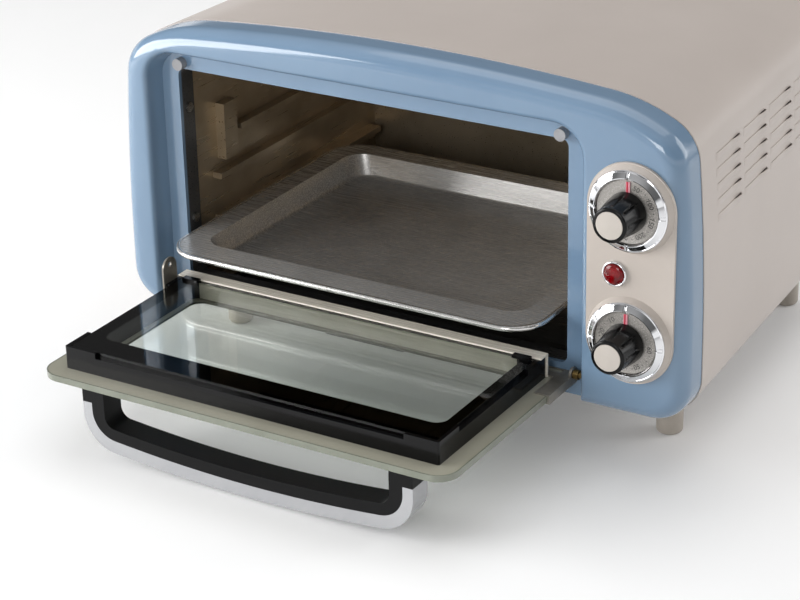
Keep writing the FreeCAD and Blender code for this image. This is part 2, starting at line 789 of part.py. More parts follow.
def recess_solid(offset, lip_steps=0):
    """The door's recess, open at the bottom, whose walls flare out to the front.

    With lip_steps the edge at the crest is eased outwards along a quarter circle.
    """
    slope = d.recess_flare / d.bezel_rise
    sections = [(d.flange_y, 0.0), (d.crest_y + d.recess_lip, slope * (d.bezel_rise - d.recess_lip))]
    for step in range(1, lip_steps + 1):
        turn = math.pi / 2 * step / lip_steps
        sections.append((d.crest_y + d.recess_lip * (1 - math.sin(turn)),
                         sections[1][1] + d.recess_lip * (1 - math.cos(turn))))
    sections.append((d.crest_y - 1, sections[-1][1] if lip_steps else d.recess_flare))
    wires = []
    for y, flare in sections:
        half = d.recess_width / 2 + flare + offset
        low = (d.open_x - half, -d.case_height)
        high = (d.open_x + half, d.sill_z + d.recess_top + flare + offset)
        wires.append(rounded_rect(low, high, d.recess_corner + flare + offset, y + offset, "y"))
    return Part.makeLoft(wires, True, True)


def edges_at(shape, y):
    """Edges that lie in the plane across Y at this depth."""
    return [edge for edge in shape.Edges
            if all(abs(vertex.Point.y - y) < 1e-6 for vertex in edge.Vertexes)
            and abs(edge.CenterOfMass.y - y) < 1e-6]


def bezel_screw_points():
    """Places of the screws that hold the steel frame to the back of the bezel."""
    side = d.open_width / 2 + d.frame_flange - d.frame_screw_inset
    high = d.open_top_z + d.frame_flange - d.frame_screw_inset
    points = [(d.open_x + sign * side, d.sill_z + z)
              for sign in (-1, 1) for z in (d.frame_screw_low, d.frame_screw_high)]
    return points + [(d.open_x + sign * d.open_width / 4, high) for sign in (-1, 1)]


LIP_STEPS = 5


def make_bezel():
    """Moulded front: rounded rim, recess for the door, opening, and seats for the controls."""
    front, inner = d.crest_y, d.bezel_inner_y
    outer = Part.makeLoft([case_wire(d.case_width, d.bezel_inset, y)
                           for y in (front, d.case_front_y)], True, True)
    outer = outer.makeFillet(d.bezel_round, edges_at(outer, front))
    hollow = Part.makeLoft([case_wire(d.case_width, d.bezel_inset + d.bezel_wall, y)
                            for y in (inner, d.case_front_y + 1)], True, True)
    hollow = hollow.makeFillet(d.bezel_round - d.bezel_wall, edges_at(hollow, inner))
    bosses = bores(bracket_screw_points(), d.boss_diameter, front + 1, d.bracket_front_y)
    seat = rounded_prism((d.control_mid_x - d.plate_width / 2 + 1, d.plate_bottom_z + 1),
                         (d.control_mid_x + d.plate_width / 2 - 1, d.plate_top_z - 1),
                         d.plate_width / 2 - 1.01, front, inner, "y")
    shape = fused([outer.cut(hollow), recess_solid(d.bezel_wall).common(outer), seat] + bosses)
    shape = shape.cut(recess_solid(0.0, LIP_STEPS))
    behind = d.case_front_y + 1
    tools = [rounded_prism((d.open_left_x, d.sill_z), (d.open_right_x, d.open_top_z),
                           d.open_corner, front, behind, "y")]
    gap = d.part_gap
    tools.append(block((d.crumb_left_x - gap, d.flange_y - 1, d.crumb_low_z - gap),
                       (d.crumb_right_x + gap, behind, d.crumb_top_z + gap)))
    dials = [(d.control_mid_x, d.upper_z), (d.control_mid_x, d.lower_z)]
    tools += bores(dials, d.shaft_diameter + 2 * d.shaft_clear, front - 1, inner + 1)
    tools += bores([(d.lamp_mid_x, d.lamp_mid_z)], d.lamp_shank_diameter + 2 * d.fit_gap,
                   front - 1, inner + 1)
    tools += bores(bracket_screw_points(), d.screw_diameter + 2 * d.fit_gap,
                   front + d.bezel_wall / 2, behind)
    tools += bores(bezel_screw_points(), d.screw_diameter + 2 * d.fit_gap,
                   d.frame_front_y - bezel_screw_depth() - d.part_gap, behind)
    pin = Part.makeCylinder(d.pin_diameter / 2 + d.fit_gap, d.glass_width + 2 * d.pin_length + 1,
                            Vector(d.glass_left_x - d.pin_length - 0.5, d.hinge_y, d.hinge_z),
                            Vector(1, 0, 0))
    keep("front_bezel", plain("front_bezel", shape.cut(tools + [pin])))
    screws = screw_shapes(bezel_screw_points(), d.frame_front_y + d.frame_sheet,
                          d.frame_sheet + bezel_screw_depth())
    keep("bezel_screws", plain("bezel_screws", Part.makeCompound(screws)))


def bezel_screw_depth():
    """How far those screws go into the bezel's wall."""
    return d.bezel_wall * 2 / 3


def bracket_screw_points():
    """Places of the four screws that hold the control bracket to the bezel's bosses."""
    return [(d.control_mid_x + side * d.bracket_screw_x, d.control_mid_z + level * d.bracket_screw_z)
            for side in (-1, 1) for level in (-1, 1)]


def make_front_frame():
    """Steel frame behind the bezel: a flange with a short tunnel that lines the opening."""
    reach = "frame_flange"
    flange = span("frame_flange_sheet", ("open_left_x - " + reach, "open_right_x + " + reach),
                  ("frame_front_y", "frame_front_y + frame_sheet"),
                  ("sill_z - " + reach, "open_top_z + " + reach))
    tunnel = span("frame_tunnel", ("cavity_left_x", "cavity_right_x"),
                  ("frame_front_y", "frame_back_y"),
                  ("sill_z - frame_sheet", "open_top_z + frame_sheet"))
    tunnel = rounded("frame_tunnel_round", tunnel, d.open_corner + d.frame_sheet,
                     lambda edge: runs_along("y", edge))
    opening = span("frame_opening", ("open_left_x", "open_right_x"),
                   ("frame_front_y - 1", "frame_back_y + 1"), ("sill_z", "open_top_z"))
    opening = rounded("frame_opening_round", opening, d.open_corner,
                      lambda edge: runs_along("y", edge))
    hole = "screw_diameter + 2 * fit_gap"
    holes = [rod(f"frame_bezel_hole_{number}", (str(x), "frame_front_y - 1", str(z)), "y", hole,
                 "frame_sheet + 2") for number, (x, z) in enumerate(frame_hole_texts())]
    holes += [rod(f"frame_wall_hole_{number}", ("cavity_left_x - 1", "frame_screw_line", height),
                  "x", hole, "cavity_right_x - cavity_left_x + 2")
              for number, height in enumerate(("sill_z + frame_screw_low",
                                               "sill_z + frame_screw_high"))]
    keep("front_frame", cut("front_frame", fuse("frame_sheets", flange, tunnel), opening, *holes))


def frame_hole_texts():
    """Places of the bezel screws' holes in the frame, as expressions."""
    reach = "frame_flange - frame_screw_inset"
    places = [(side, f"sill_z + {height}")
              for side in (f"open_left_x - ({reach})", f"open_right_x + ({reach})")
              for height in ("frame_screw_low", "frame_screw_high")]
    top = f"open_top_z + {reach}"
    return places + [("open_x - open_width / 4", top), ("open_x + open_width / 4", top)]


def make_frame_screws():
    """Four pan-head screws from inside the opening through the frame into the cavity's walls."""
    screws = []
    head, shank = "screw_head_height", "frame_sheet + steel_sheet + fit_gap"
    for height in ("frame_screw_low", "frame_screw_high"):
        z = "sill_z + " + height
        for side, head_x, shank_x in (("left", "open_left_x", f"open_left_x - ({shank})"),
                                      ("right", f"open_right_x - {head}", "open_right_x")):
            name = f"{height}_{side}"
            screws.append(fuse(name + "_screw",
                               rod(name + "_head", (head_x, "frame_screw_line", z), "x",
                                   "screw_head", head),
                               rod(name + "_shank", (shank_x, "frame_screw_line", z), "x",
                                   "screw_diameter", shank)))
    keep("frame_screws", group("frame_screws", *screws))


def make_cavity_wall(side):
    """One side wall of the cavity with pressed ribs, the lowest of which carries the tray."""
    left = side == "left"
    inner = "cavity_left_x" if left else "cavity_right_x"
    inward, outward = ("+", "-") if left else ("-", "+")

    def across(reach, direction):
        """A stretch along X from the wall's inner face."""
        ends = (inner, f"{inner} {direction} {reach}")
        return ends if direction == "+" else ends[::-1]

    sheet = across("steel_sheet", outward)
    start = "case_front_y + part_gap"
    pieces = [
        span(side + "_wall_sheet", sheet, (start, "cavity_back_y"), ("wall_low_z", "cavity_top_z")),
        span(side + "_wall_tab", sheet, ("cavity_front_y", start),
             ("sill_z + wall_tab_inset", "open_top_z - wall_tab_inset")),
        span(side + "_wall_return", across("wall_return", inward), (start, "cavity_back_y"),
             ("wall_low_z", "wall_low_z + steel_sheet")),
    ]
    ribs = {
        "tray": ("tray_rib_reach", "flange_y + rib_low_y", "cavity_back_y - rib_reach",
                 "tray_rest_z - rib_height", "tray_rest_z"),
        "low": ("rib_reach", "flange_y + rib_low_y", "cavity_back_y - rib_reach",
                "sill_z + rib_low_z", "sill_z + rib_low_z + rib_height"),
        "high": ("rib_reach", "flange_y + rib_high_y", "cavity_back_y - rib_reach",
                 "sill_z + rib_high_z", "sill_z + rib_high_z + rib_height"),
        "post": ("rib_reach", "flange_y + rib_post_y", "flange_y + rib_post_y + rib_post_width",
                 "sill_z + rib_post_low", "sill_z + rib_post_high"),
    }
    for rib, (reach, front, back, low, high) in ribs.items():
        pieces.append(span(f"{side}_wall_{rib}_rib", across(reach, inward), (front, back),
                           (low, high)))
    bored = "screw_diameter + 2 * fit_gap"
    start_x = f"{inner} - 2 * steel_sheet"
    holes = [rod(f"{side}_wall_screw_hole_{height}", (start_x, "frame_screw_line",
                                                      "sill_z + " + height), "x", bored,
                 "4 * steel_sheet") for height in ("frame_screw_low", "frame_screw_high")]
    for number, (y, z) in enumerate(HEATERS.values()):
        holes.append(rod(f"{side}_wall_heater_hole_{number}", (start_x, y, z), "x",
                         "heater_diameter + 2 * part_gap", "4 * steel_sheet"))
    name = f"cavity_{side}_wall"
    keep(name, cut(name, fuse(name + "_sheets", *pieces), *holes))


HEATERS = {
    "lower_heater_front": ("flange_y + heater_front_y", "sill_z + heater_low_z"),
    "lower_heater_rear": ("flange_y + heater_rear_y", "sill_z + heater_low_z"),
    "upper_heater_front": ("flange_y + heater_front_y", "sill_z + heater_high_z"),
    "upper_heater_rear": ("flange_y + heater_rear_y", "sill_z + heater_high_z"),
}


def make_cavity():
    """Roof with a skirt down to the frame, and the back sheet."""
    walls = ("cavity_left_x - steel_sheet", "cavity_right_x + steel_sheet")
    roof = span("roof_sheet", walls, ("frame_back_y - steel_sheet", "cavity_back_y"),
                ("cavity_top_z", "cavity_top_z + steel_sheet"))
    skirt = span("roof_skirt", ("open_left_x", "open_right_x"),
                 ("frame_back_y - steel_sheet", "frame_back_y"),
                 ("open_top_z + frame_sheet", "cavity_top_z"))
    keep("cavity_top", fuse("cavity_top", roof, skirt))
    keep("cavity_back", span("cavity_back", walls, ("cavity_back_y", "cavity_back_y + steel_sheet"),
                             ("base_top_z", "cavity_top_z + steel_sheet")))
    make_cavity_wall("left")
    make_cavity_wall("right")


def make_heaters():
    """Four straight sheathed elements with terminal pins, held in ceramic bushes."""
    reach = "steel_sheet + heater_overhang"
    bushes = []
    for name, (y, z) in HEATERS.items():
        sheath = rod(name + "_sheath", (f"cavity_left_x - ({reach})", y, z), "x",
                     "heater_diameter", f"cavity_right_x - cavity_left_x + 2 * ({reach})")
        pins = rod(name + "_pins", (f"cavity_left_x - ({reach}) - heater_pin", y, z), "x",
                   "heater_pin_diameter",
                   f"cavity_right_x - cavity_left_x + 2 * ({reach} + heater_pin)")
        keep(name, fuse(name, sheath, pins))
        for side, start in (("left", "cavity_left_x - steel_sheet - bush_length"),
                            ("right", "cavity_right_x + steel_sheet")):
            bush = rod(f"{name}_{side}_bush", (start, y, z), "x", "bush_diameter", "bush_length")
            bore = rod(f"{name}_{side}_bore", (start + " - 1", y, z), "x",
                       "heater_diameter + 2 * fit_gap", "bush_length + 2")
            bushes.append(cut(f"{name}_{side}_ring", bush, bore))
    keep("heater_bushes", group("heater_bushes", *bushes))


def make_control_plate():
    """Light plate with round ends, raised into a low cone round each dial."""
    half = "plate_width / 2"
    low, high = "plate_bottom_z + " + half, "plate_top_z - " + half
    depth = ("plate_face_y", "crest_y")
    middle = span("plate_middle", (f"control_mid_x - {half}", f"control_mid_x + {half}"), depth,
                  (low, high))
    ends = [rod("plate_end_" + name, ("control_mid_x", "plate_face_y", z), "y", "plate_width",
                "plate_thick") for name, z in (("low", low), ("high", high))]
    cones = [taper("plate_cone_" + z, ("control_mid_x", "cone_face_y", z), "y",
                   "cone_high_diameter", "cone_low_diameter", "cone_height")
             for z in ("lower_z", "upper_z")]
    holes = [rod("plate_hole_" + z, ("control_mid_x", "cone_face_y - 1", z), "y",
                 "shaft_diameter + 2 * shaft_clear", "cone_height + plate_thick + 2")
             for z in ("lower_z", "upper_z")]
    holes.append(rod("plate_lamp_hole", ("lamp_mid_x", "plate_face_y - 1", "lamp_mid_z"), "y",
                     "lamp_shank_diameter + 2 * fit_gap", "plate_thick + 2"))
    keep("control_plate", cut("control_plate", fuse("plate_sheet", middle, *ends, *cones), *holes))


def make_dial(level, z):
    """One control: ring, dial face, pointer, fluted knob with its cap, and shaft."""
    x = "control_mid_x"
    step = "cone_face_y - (ring_height - ring_bevel)"
    bore, rim = "ring_bore / 2", "ring_diameter / 2"
    front = "cone_face_y - ring_height"
    keep(level + "_dial_ring", turned(level + "_dial_ring", [
        (bore, "cone_face_y"), (rim, "cone_face_y"), (rim, step),
        (bore + " + ring_bevel", front), (bore, front)], x, z))
    open_radius = "shaft_diameter / 2 + shaft_clear"
    keep(level + "_dial_face", turned(level + "_dial_face", [
        (open_radius, "cone_face_y"), ("dial_diameter / 2", "cone_face_y"),
        ("dial_diameter / 2", "dial_face_y"), (open_radius, "dial_face_y")], x, z))
    hub = rod(level + "_pointer_hub", (x, "knob_back_y", z), "y", "pointer_hub", "pointer_thick")
    arm = span(level + "_pointer_arm", (x + " - pointer_width / 2", x + " + pointer_width / 2"),
               ("knob_back_y", "pointer_back_y"), (z, z + " + pointer_reach"))
    hole = rod(level + "_pointer_hole", (x, "knob_back_y - 1", z), "y",
               "shaft_diameter + 2 * fit_gap", "pointer_thick + 2")
    keep(level + "_pointer", cut(level + "_pointer", fuse(level + "_pointer_sheet", hub, arm),
                                 hole))
    make_knob(level, x, z)
    keep(level + "_knob_cap", turned(level + "_knob_cap", [
        ("0", "cap_back_y"), ("cap_diameter / 2", "cap_back_y"), ("cap_diameter / 2", "knob_face_y"),
        ("0", "knob_face_y - cap_crown")], x, z))
    name = ("thermostat" if level == "upper" else "timer")
    keep(name + "_shaft", rod(name + "_shaft", (x, "knob_back_y - shaft_in_knob", z), "y",
                              "shaft_diameter",
                              "shaft_in_knob + bracket_back_y + shaft_in_body - knob_back_y"))
    y = ("bracket_back_y", "bracket_back_y + control_body_depth")
    case = span(name + "_case", (x + " - control_body_width / 2", x + " + control_body_width / 2"),
                y, (z + " - control_body_height / 2", z + " + control_body_height / 2"))
    case = rounded(name + "_case_round", case, d.foot_round, lambda edge: runs_along("y", edge))
    socket = rod(name + "_socket", (x, "bracket_back_y - 1", z), "y",
                 "shaft_diameter + 2 * fit_gap", "shaft_in_body + part_gap + 1")
    keep(name + "_body", cut(name + "_body", case, socket))


def make_knob(level, x, z):
    """A tapered knob turned to shape, with flutes repeated round its side."""
    bore = "shaft_diameter / 2 + fit_gap"
    depth = "knob_back_y - shaft_in_knob - part_gap"
    body = turned(level + "_knob", [
        (bore, "knob_back_y"), ("knob_base_diameter / 2", "knob_back_y"),
        ("knob_tip_diameter / 2", "knob_face_y"), ("cap_diameter / 2 + fit_gap", "knob_face_y"),
        ("cap_diameter / 2 + fit_gap", "cap_back_y"), ("0", "cap_back_y"), ("0", depth),
        (bore, depth)], x, z)
    doc.recompute()
    whole = body.Shape.Volume
    sketch = body.newObject("Sketcher::SketchObject", level + "_flute_profile")
    sketch.AttachmentSupport = [(origin_plane(body, "XZ_Plane"), "")]
    sketch.MapMode = "FlatFace"
    reach = (d.knob_tip_diameter + d.knob_flute_diameter) / 2 - d.knob_flute_depth
    circle = Part.Circle(Vector(reach, 0, 0), Vector(0, 0, 1), d.knob_flute_diameter / 2)
    sketch.addGeometry(circle, False)
    sketch.addConstraint(Sketcher.Constraint("PointOnObject", 0, 3, -1))
    row = sketch.addConstraint(Sketcher.Constraint("DistanceX", -1, 1, 0, 3, reach))
    sketch.setExpression(f"Constraints[{row}]", located(
        "(knob_tip_diameter + knob_flute_diameter) / 2 - knob_flute_depth"))
    row = sketch.addConstraint(Sketcher.Constraint("Diameter", 0, d.knob_flute_diameter))
    sketch.setExpression(f"Constraints[{row}]", located("knob_flute_diameter"))
    flute = body.newObject("PartDesign::Pocket", level + "_flute")
    flute.Profile = sketch
    flute.Type = 1
    flute.Midplane = True
    doc.recompute()
    pattern = body.newObject("PartDesign::PolarPattern", level + "_flutes")
    pattern.Originals = [flute]
    pattern.Axis = (origin_plane(body, "Y_Axis"), [""])
    pattern.Angle = 360
    pattern.setExpression("Occurrences", located("knob_flutes"))
    body.Tip = pattern
    doc.recompute()
    if body.Shape.Volume >= whole:
        raise RuntimeError("the flutes of the knob cut nothing")
    keep(level + "_knob", body)


def make_control_bracket():
    """Bent bracket on the bezel's bosses that carries the thermostat and the timer."""
    x = ("control_mid_x - bracket_width / 2", "control_mid_x + bracket_width / 2")
    low, high = "lower_z - bracket_margin", "upper_z + bracket_margin"
    bend = ("bracket_front_y", "bracket_front_y + bracket_bend")
    sheets = [span("bracket_sheet_face", x, ("bracket_front_y", "bracket_back_y"), (low, high)),
              span("bracket_bend_low", x, bend, (low, low + " + bracket_sheet")),
              span("bracket_bend_high", x, bend, (high + " - bracket_sheet", high))]
    places = [("control_mid_x", z, "shaft_diameter + 2 * shaft_clear")
              for z in ("lower_z", "upper_z")]
    places.append(("lamp_mid_x", "lamp_mid_z", "lamp_body_diameter + 2 * part_gap"))
    screws = []
    for side in "-+":
        for level in "-+":
            places.append((f"control_mid_x {side} bracket_screw_x",
                           f"control_mid_z {level} bracket_screw_z",
                           "screw_diameter + 2 * fit_gap"))
    holes = [rod(f"bracket_hole_{number}", (px, "bracket_front_y - 1", pz), "y", size,
                 "bracket_sheet + 2") for number, (px, pz, size) in enumerate(places)]
    for number, (px, pz, size) in enumerate(places[3:]):
        head = rod(f"bracket_screw_head_{number}", (px, "bracket_back_y", pz), "y", "screw_head",
                   "screw_head_height")
        shank = rod(f"bracket_screw_shank_{number}",
                    (px, "bracket_back_y - bracket_sheet - bracket_gap", pz), "y",
                    "screw_diameter", "bracket_sheet + bracket_gap")
        screws.append(fuse(f"bracket_screw_{number}", head, shank))
    keep("control_bracket", cut("control_bracket", fuse("bracket_sheets", *sheets), *holes))
    keep("bracket_screws", group("bracket_screws", *screws))


def make_lamp():
    """Pilot lamp: chrome ring, domed lens on a shank, and the neon's body behind the bezel."""
    x, z = "lamp_mid_x", "lamp_mid_z"
    bore = "lamp_lens_diameter / 2 + fit_gap"
    keep("lamp_ring", turned("lamp_ring", [
        (bore, "plate_face_y"), ("lamp_ring_diameter / 2", "plate_face_y"),
        ("lamp_ring_diameter / 2", "plate_face_y - lamp_ring_height / 2"),
        (bore + " + lamp_ring_height / 4", "plate_face_y - lamp_ring_height"),
        (bore, "plate_face_y - lamp_ring_height")], x, z))
    lens, shank = "lamp_lens_diameter / 2", "lamp_shank_diameter / 2"
    body = turned("lamp_lens", [
        ("0", "plate_face_y - lamp_dome"), (lens + " - lamp_ring_height / 2",
                                            "plate_face_y - lamp_dome + part_gap"),
        (lens, "plate_face_y - lamp_ring_height"), (lens, "plate_face_y"),
        (shank, "plate_face_y"), (shank, "bezel_inner_y"), ("0", "bezel_inner_y")], x, z)
    keep("lamp_lens", body)
    keep("lamp_body", rod("lamp_body", (x, "bezel_inner_y", z), "y", "lamp_body_diameter",
                          "lamp_body_length"))


def make_supply():
    """Bush for the cord in the rear panel and the terminal block beside the cavity."""
    outer, neck, bore = "gland_diameter / 2", "gland_neck / 2", "gland_bore / 2"
    end = "case_back_y + gland_out"
    keep("cord_gland", turned("cord_gland", [
        (bore, "rear_panel_y - gland_nut"), (outer, "rear_panel_y - gland_nut"),
        (outer, "rear_panel_y"), (neck, "rear_panel_y"), (neck, "rear_panel_back_y"),
        (outer, "rear_panel_back_y"), (outer, "rear_panel_back_y + gland_nut"), (neck, end),
        (bore, end)], "gland_x", "gland_z"))
    x = "cavity_right_x + terminal_side"
    back = "cavity_back_y - terminal_back"
    case = span("terminal_case", (x, x + " + terminal_width"),
                (back + " - terminal_length", back), ("base_top_z", "base_top_z + terminal_height"))
    ways = []
    for way in range(int(d.terminal_ways)):
        y = f"{back} - terminal_length * {2 * way + 1} / (2 * terminal_ways)"
        ways.append(rod(f"terminal_way_{way}", (x + " - 1", y, "base_top_z + terminal_height / 2"),
                        "x", "terminal_bore", "terminal_width + 2"))
    keep("terminal_block", cut("terminal_block", case, *ways))


def make_hinge():
    """Pins in the recess's walls and, on the door, the brackets that turn on them."""
    z = "hinge_z"
    pins = []
    shank, collar = "pin_length", "pin_collar"
    for side, start, seat in (("left", "glass_left_x - pin_length - part_gap",
                               "glass_left_x - part_gap - bracket_wall - part_gap - pin_collar"),
                              ("right", "glass_right_x + part_gap",
                               "glass_right_x + part_gap + bracket_wall + part_gap")):
        pins.append(fuse(side + "_hinge_pin",
                         rod(side + "_pin_shank", (start, "hinge_y", z), "x", "pin_diameter",
                             shank),
                         rod(side + "_pin_collar", (seat, "hinge_y", z), "x",
                             "pin_collar_diameter", collar)))
    keep("hinge_pins", group("hinge_pins", *pins))
    make_hinge_bracket("left")
    make_hinge_bracket("right")


def make_hinge_bracket(side):
    """Folded bracket round the glass's side edge, with an eye for the pin and a tongue."""
    edge, out = ("glass_left_x", "-") if side == "left" else ("glass_right_x", "+")

    def across(first, last):
        """A stretch along X between two distances outwards from the glass's side edge."""
        ends = (f"{edge} {out} ({first})", f"{edge} {out} ({last})")
        return ends[::-1] if side == "left" else ends

    wall_in, wall_out = "part_gap", "part_gap + bracket_wall"
    arm = ("flange_y - bracket_arm", "glass_back_y")
    under = "glass_low_z - seat_gap - bracket_plate"
    top = "glass_top_z + bracket_plate"
    tongue = ("strip_back_y", "glass_back_y")
    pieces = [
        span(side + "_bracket_wall", across(wall_in, wall_out), arm, (under, top)),
        span(side + "_bracket_top", across("-bracket_foot", wall_out), arm, ("glass_top_z", top)),
        span(side + "_bracket_under", across("-bracket_foot", wall_out), arm,
             (under, under + " + bracket_plate")),
        span(side + "_bracket_tongue", across("-bracket_tongue", "0"), tongue,
             ("glass_top_z", top)),
        rod(side + "_bracket_eye", (across(wall_in, wall_out)[0], "hinge_y", "hinge_z"), "x",
            "bracket_eye", "bracket_wall"),
    ]
    slot_back = "glass_back_y - bracket_plate / 2"
    tools = [
        rod(side + "_bracket_bore", (across(wall_in, wall_out)[0] + " - 1", "hinge_y", "hinge_z"),
            "x", "pin_diameter + 2 * fit_gap", "bracket_wall + 2"),
        span(side + "_bracket_slot", across("-bracket_foot - bracket_slot + 2",
                                            "-bracket_foot + 2"),
             (slot_back + " - bracket_slot_width", slot_back), ("glass_top_z - 1", top + " + 1")),
    ]
    name = "hinge_bracket_" + side
    keep(name, cut(name, fuse(name + "_sheets", *pieces), *tools))


def make_door_glass():
    """Outer glass with big corners at the front, and the inner glass over the frame's window."""
    outer = span("outer_glass_sheet", ("glass_left_x", "glass_right_x"),
                 ("glass_front_y", "glass_back_y"), ("glass_low_z", "glass_top_z"))
    outer = rounded("outer_glass_front", outer, d.glass_corner, lambda edge: runs_along("z", edge)
                    and edge.CenterOfMass.y < d.door_front_y)
    outer = rounded("outer_glass_corners", outer, d.glass_hinge_corner,
                    lambda edge: runs_along("z", edge) and edge.CenterOfMass.y > d.door_back_y)
    holes = [rod(f"outer_glass_hole_{number}", (x, "handle_screw_y", "glass_low_z - 1"), "z",
                 "handle_screw_diameter + 2 * fit_gap", "glass_thick + 2")
             for number, x in enumerate(HANDLE_SCREWS)]
    keep("outer_glass", cut("outer_glass", outer, *holes))
    rim = "corner_wall + seat_gap"
    inner = span("inner_glass_sheet", (f"door_left_x + {rim}", f"door_right_x - ({rim})"),
                 (f"door_front_y + {rim}", f"door_back_y - ({rim})"),
                 ("door_deck_z", "inner_glass_top_z"))
    keep("inner_glass", rounded("inner_glass", inner, d.glass_hinge_corner,
                                lambda edge: runs_along("z", edge)))


HANDLE_SCREWS = ("open_x - handle_screw_x", "open_x + handle_screw_x")


def make_door_frame():
    """Black frame between the two glasses, with a low wall at each corner of the inner one."""
    x = ("door_left_x", "door_right_x")
    y = ("door_front_y", "door_back_y")
    slab = span("door_frame_slab", x, y, ("glass_top_z", "door_deck_z"))
    wall = span("door_frame_rim", x, y, ("door_deck_z", "strip_low_z"))
    rim = "corner_wall"
    inside = span("door_frame_rim_inside", (f"{x[0]} + {rim}", f"{x[1]} - {rim}"),
                  (f"{y[0]} + {rim}", f"{y[1]} - {rim}"), ("door_deck_z", "strip_low_z + 1"))
    gap_x = span("door_frame_gap_x", (x[0] + " + corner_arm", x[1] + " - corner_arm"),
                 (y[0] + " - 1", y[1] + " + 1"), ("door_deck_z", "strip_low_z + 1"))
    gap_y = span("door_frame_gap_y", (x[0] + " - 1", x[1] + " + 1"),
                 (y[0] + " + corner_arm", y[1] + " - corner_arm"),
                 ("door_deck_z", "strip_low_z + 1"))
    corners = cut("door_frame_corners", wall, inside, gap_x, gap_y)
    solid = rounded("door_frame_round", fuse("door_frame_solid", slab, corners),
                    d.door_frame_round, lambda edge: runs_along("z", edge)
                    and abs(abs(edge.CenterOfMass.x - d.open_x) - d.door_frame_width / 2) < 1e-6
                    and (abs(edge.CenterOfMass.y - d.door_front_y) < 1e-6
                         or abs(edge.CenterOfMass.y - d.door_back_y) < 1e-6))
    window = span("door_window", ("open_x - door_window_width / 2", "open_x + door_window_width / 2"),
                  ("flange_y - door_window_front", "flange_y - door_window_back"),
                  ("glass_top_z - 1", "strip_low_z + 1"))
    window = rounded("door_window_round", window, d.door_window_corner,
                     lambda edge: runs_along("z", edge))
    pockets = [rod(f"door_frame_pocket_{number}", (px, "handle_screw_y", "glass_top_z - 1"), "z",
                   "handle_screw_head + 2 * part_gap", "handle_screw_head_height + part_gap + 1")
               for number, px in enumerate(HANDLE_SCREWS)]
    keep("door_frame", cut("door_frame", solid, window, *pockets))


def make_hinge_strip():
    """Steel strip over the inner glass's rear edge, bent down behind the frame."""
    x = ("door_left_x - strip_overhang", "door_right_x + strip_overhang")
    top = span("strip_top", x, ("strip_front_y", "strip_back_y"),
               ("strip_low_z", "strip_low_z + strip_sheet"))
    bend = span("strip_bend", x, ("door_back_y", "strip_back_y"),
                ("glass_top_z + seat_gap", "strip_low_z"))
    keep("hinge_strip", fuse("hinge_strip", top, bend))


def make_ear():
    """Upright plate on the frame's left side with a round top and a hole."""
    x = ("door_left_x - seat_gap / 2 - ear_sheet", "door_left_x - seat_gap / 2")
    front = "flange_y - ear_back - ear_length"
    round_z = "sill_z + ear_top - ear_length / 2"
    plate = span("ear_plate", x, (front, "flange_y - ear_back"), ("glass_top_z + ear_sheet",
                                                                  round_z))
    top = rod("ear_round", (x[0], "flange_y - ear_back - ear_length / 2", round_z), "x",
              "ear_length", "ear_sheet")
    hole = rod("ear_bore", (x[0] + " - 1", "flange_y - ear_back - ear_length / 2",
                            "sill_z + ear_top - ear_hole_drop"), "x", "ear_hole", "ear_sheet + 2")
    keep("door_ear", cut("door_ear", fuse("ear_sheet_metal", plate, top), hole))


def make_clips_and_bumpers():
    """Clips that hold the inner glass, and the bumpers that the closed door meets."""
    clips = []
    for number, sign in enumerate("-+"):
        middle = f"open_x {sign} clip_x"
        clips.append(span(f"clip_{number}", (middle + " - clip_width / 2",
                                             middle + " + clip_width / 2"),
                          ("strip_front_y - clip_depth - seat_gap", "strip_front_y - seat_gap"),
                          ("inner_glass_top_z", "inner_glass_top_z + clip_height")))
    keep("inner_glass_clips", group("inner_glass_clips", *clips))
    bumpers = [rod(f"bumper_{number}", (f"open_x {sign} bumper_x", "flange_y - bumper_length",
                                        "sill_z + bumper_z"), "y", "bumper_diameter",
                   "bumper_length") for number, sign in enumerate("-+")]
    keep("door_bumpers", group("door_bumpers", *bumpers))


def bowed_solid(half, middle_z):
    """A block under the glass whose lower face is a shallow arc, lowest in the middle."""
    end_z = middle_z + d.handle_bow_radius - math.sqrt(d.handle_bow_radius ** 2 - half ** 2)
    y = d.handle_front_y
    left, right = d.open_x - half, d.open_x + half
    top = d.glass_low_z
    bow = Part.Arc(Vector(left, y, end_z), Vector(d.open_x, y, middle_z), Vector(right, y, end_z))
    sides = [Part.makeLine(Vector(right, y, end_z), Vector(right, y, top)),
             Part.makeLine(Vector(right, y, top), Vector(left, y, top)),
             Part.makeLine(Vector(left, y, top), Vector(left, y, end_z))]
    face = Part.Face(Part.Wire([bow.toShape()] + sides))
    return face.extrude(Vector(0, d.handle_thick, 0)), end_z


def bowed_round(half, middle_z, radius):
    """The same block with its two lower corners rounded."""
    shape, end_z = bowed_solid(half, middle_z)
    corners = [edge for edge in shape.Edges
               if runs_along("y", edge) and abs(edge.CenterOfMass.z - end_z) < 1e-6]
    return shape.makeFillet(radius, corners)


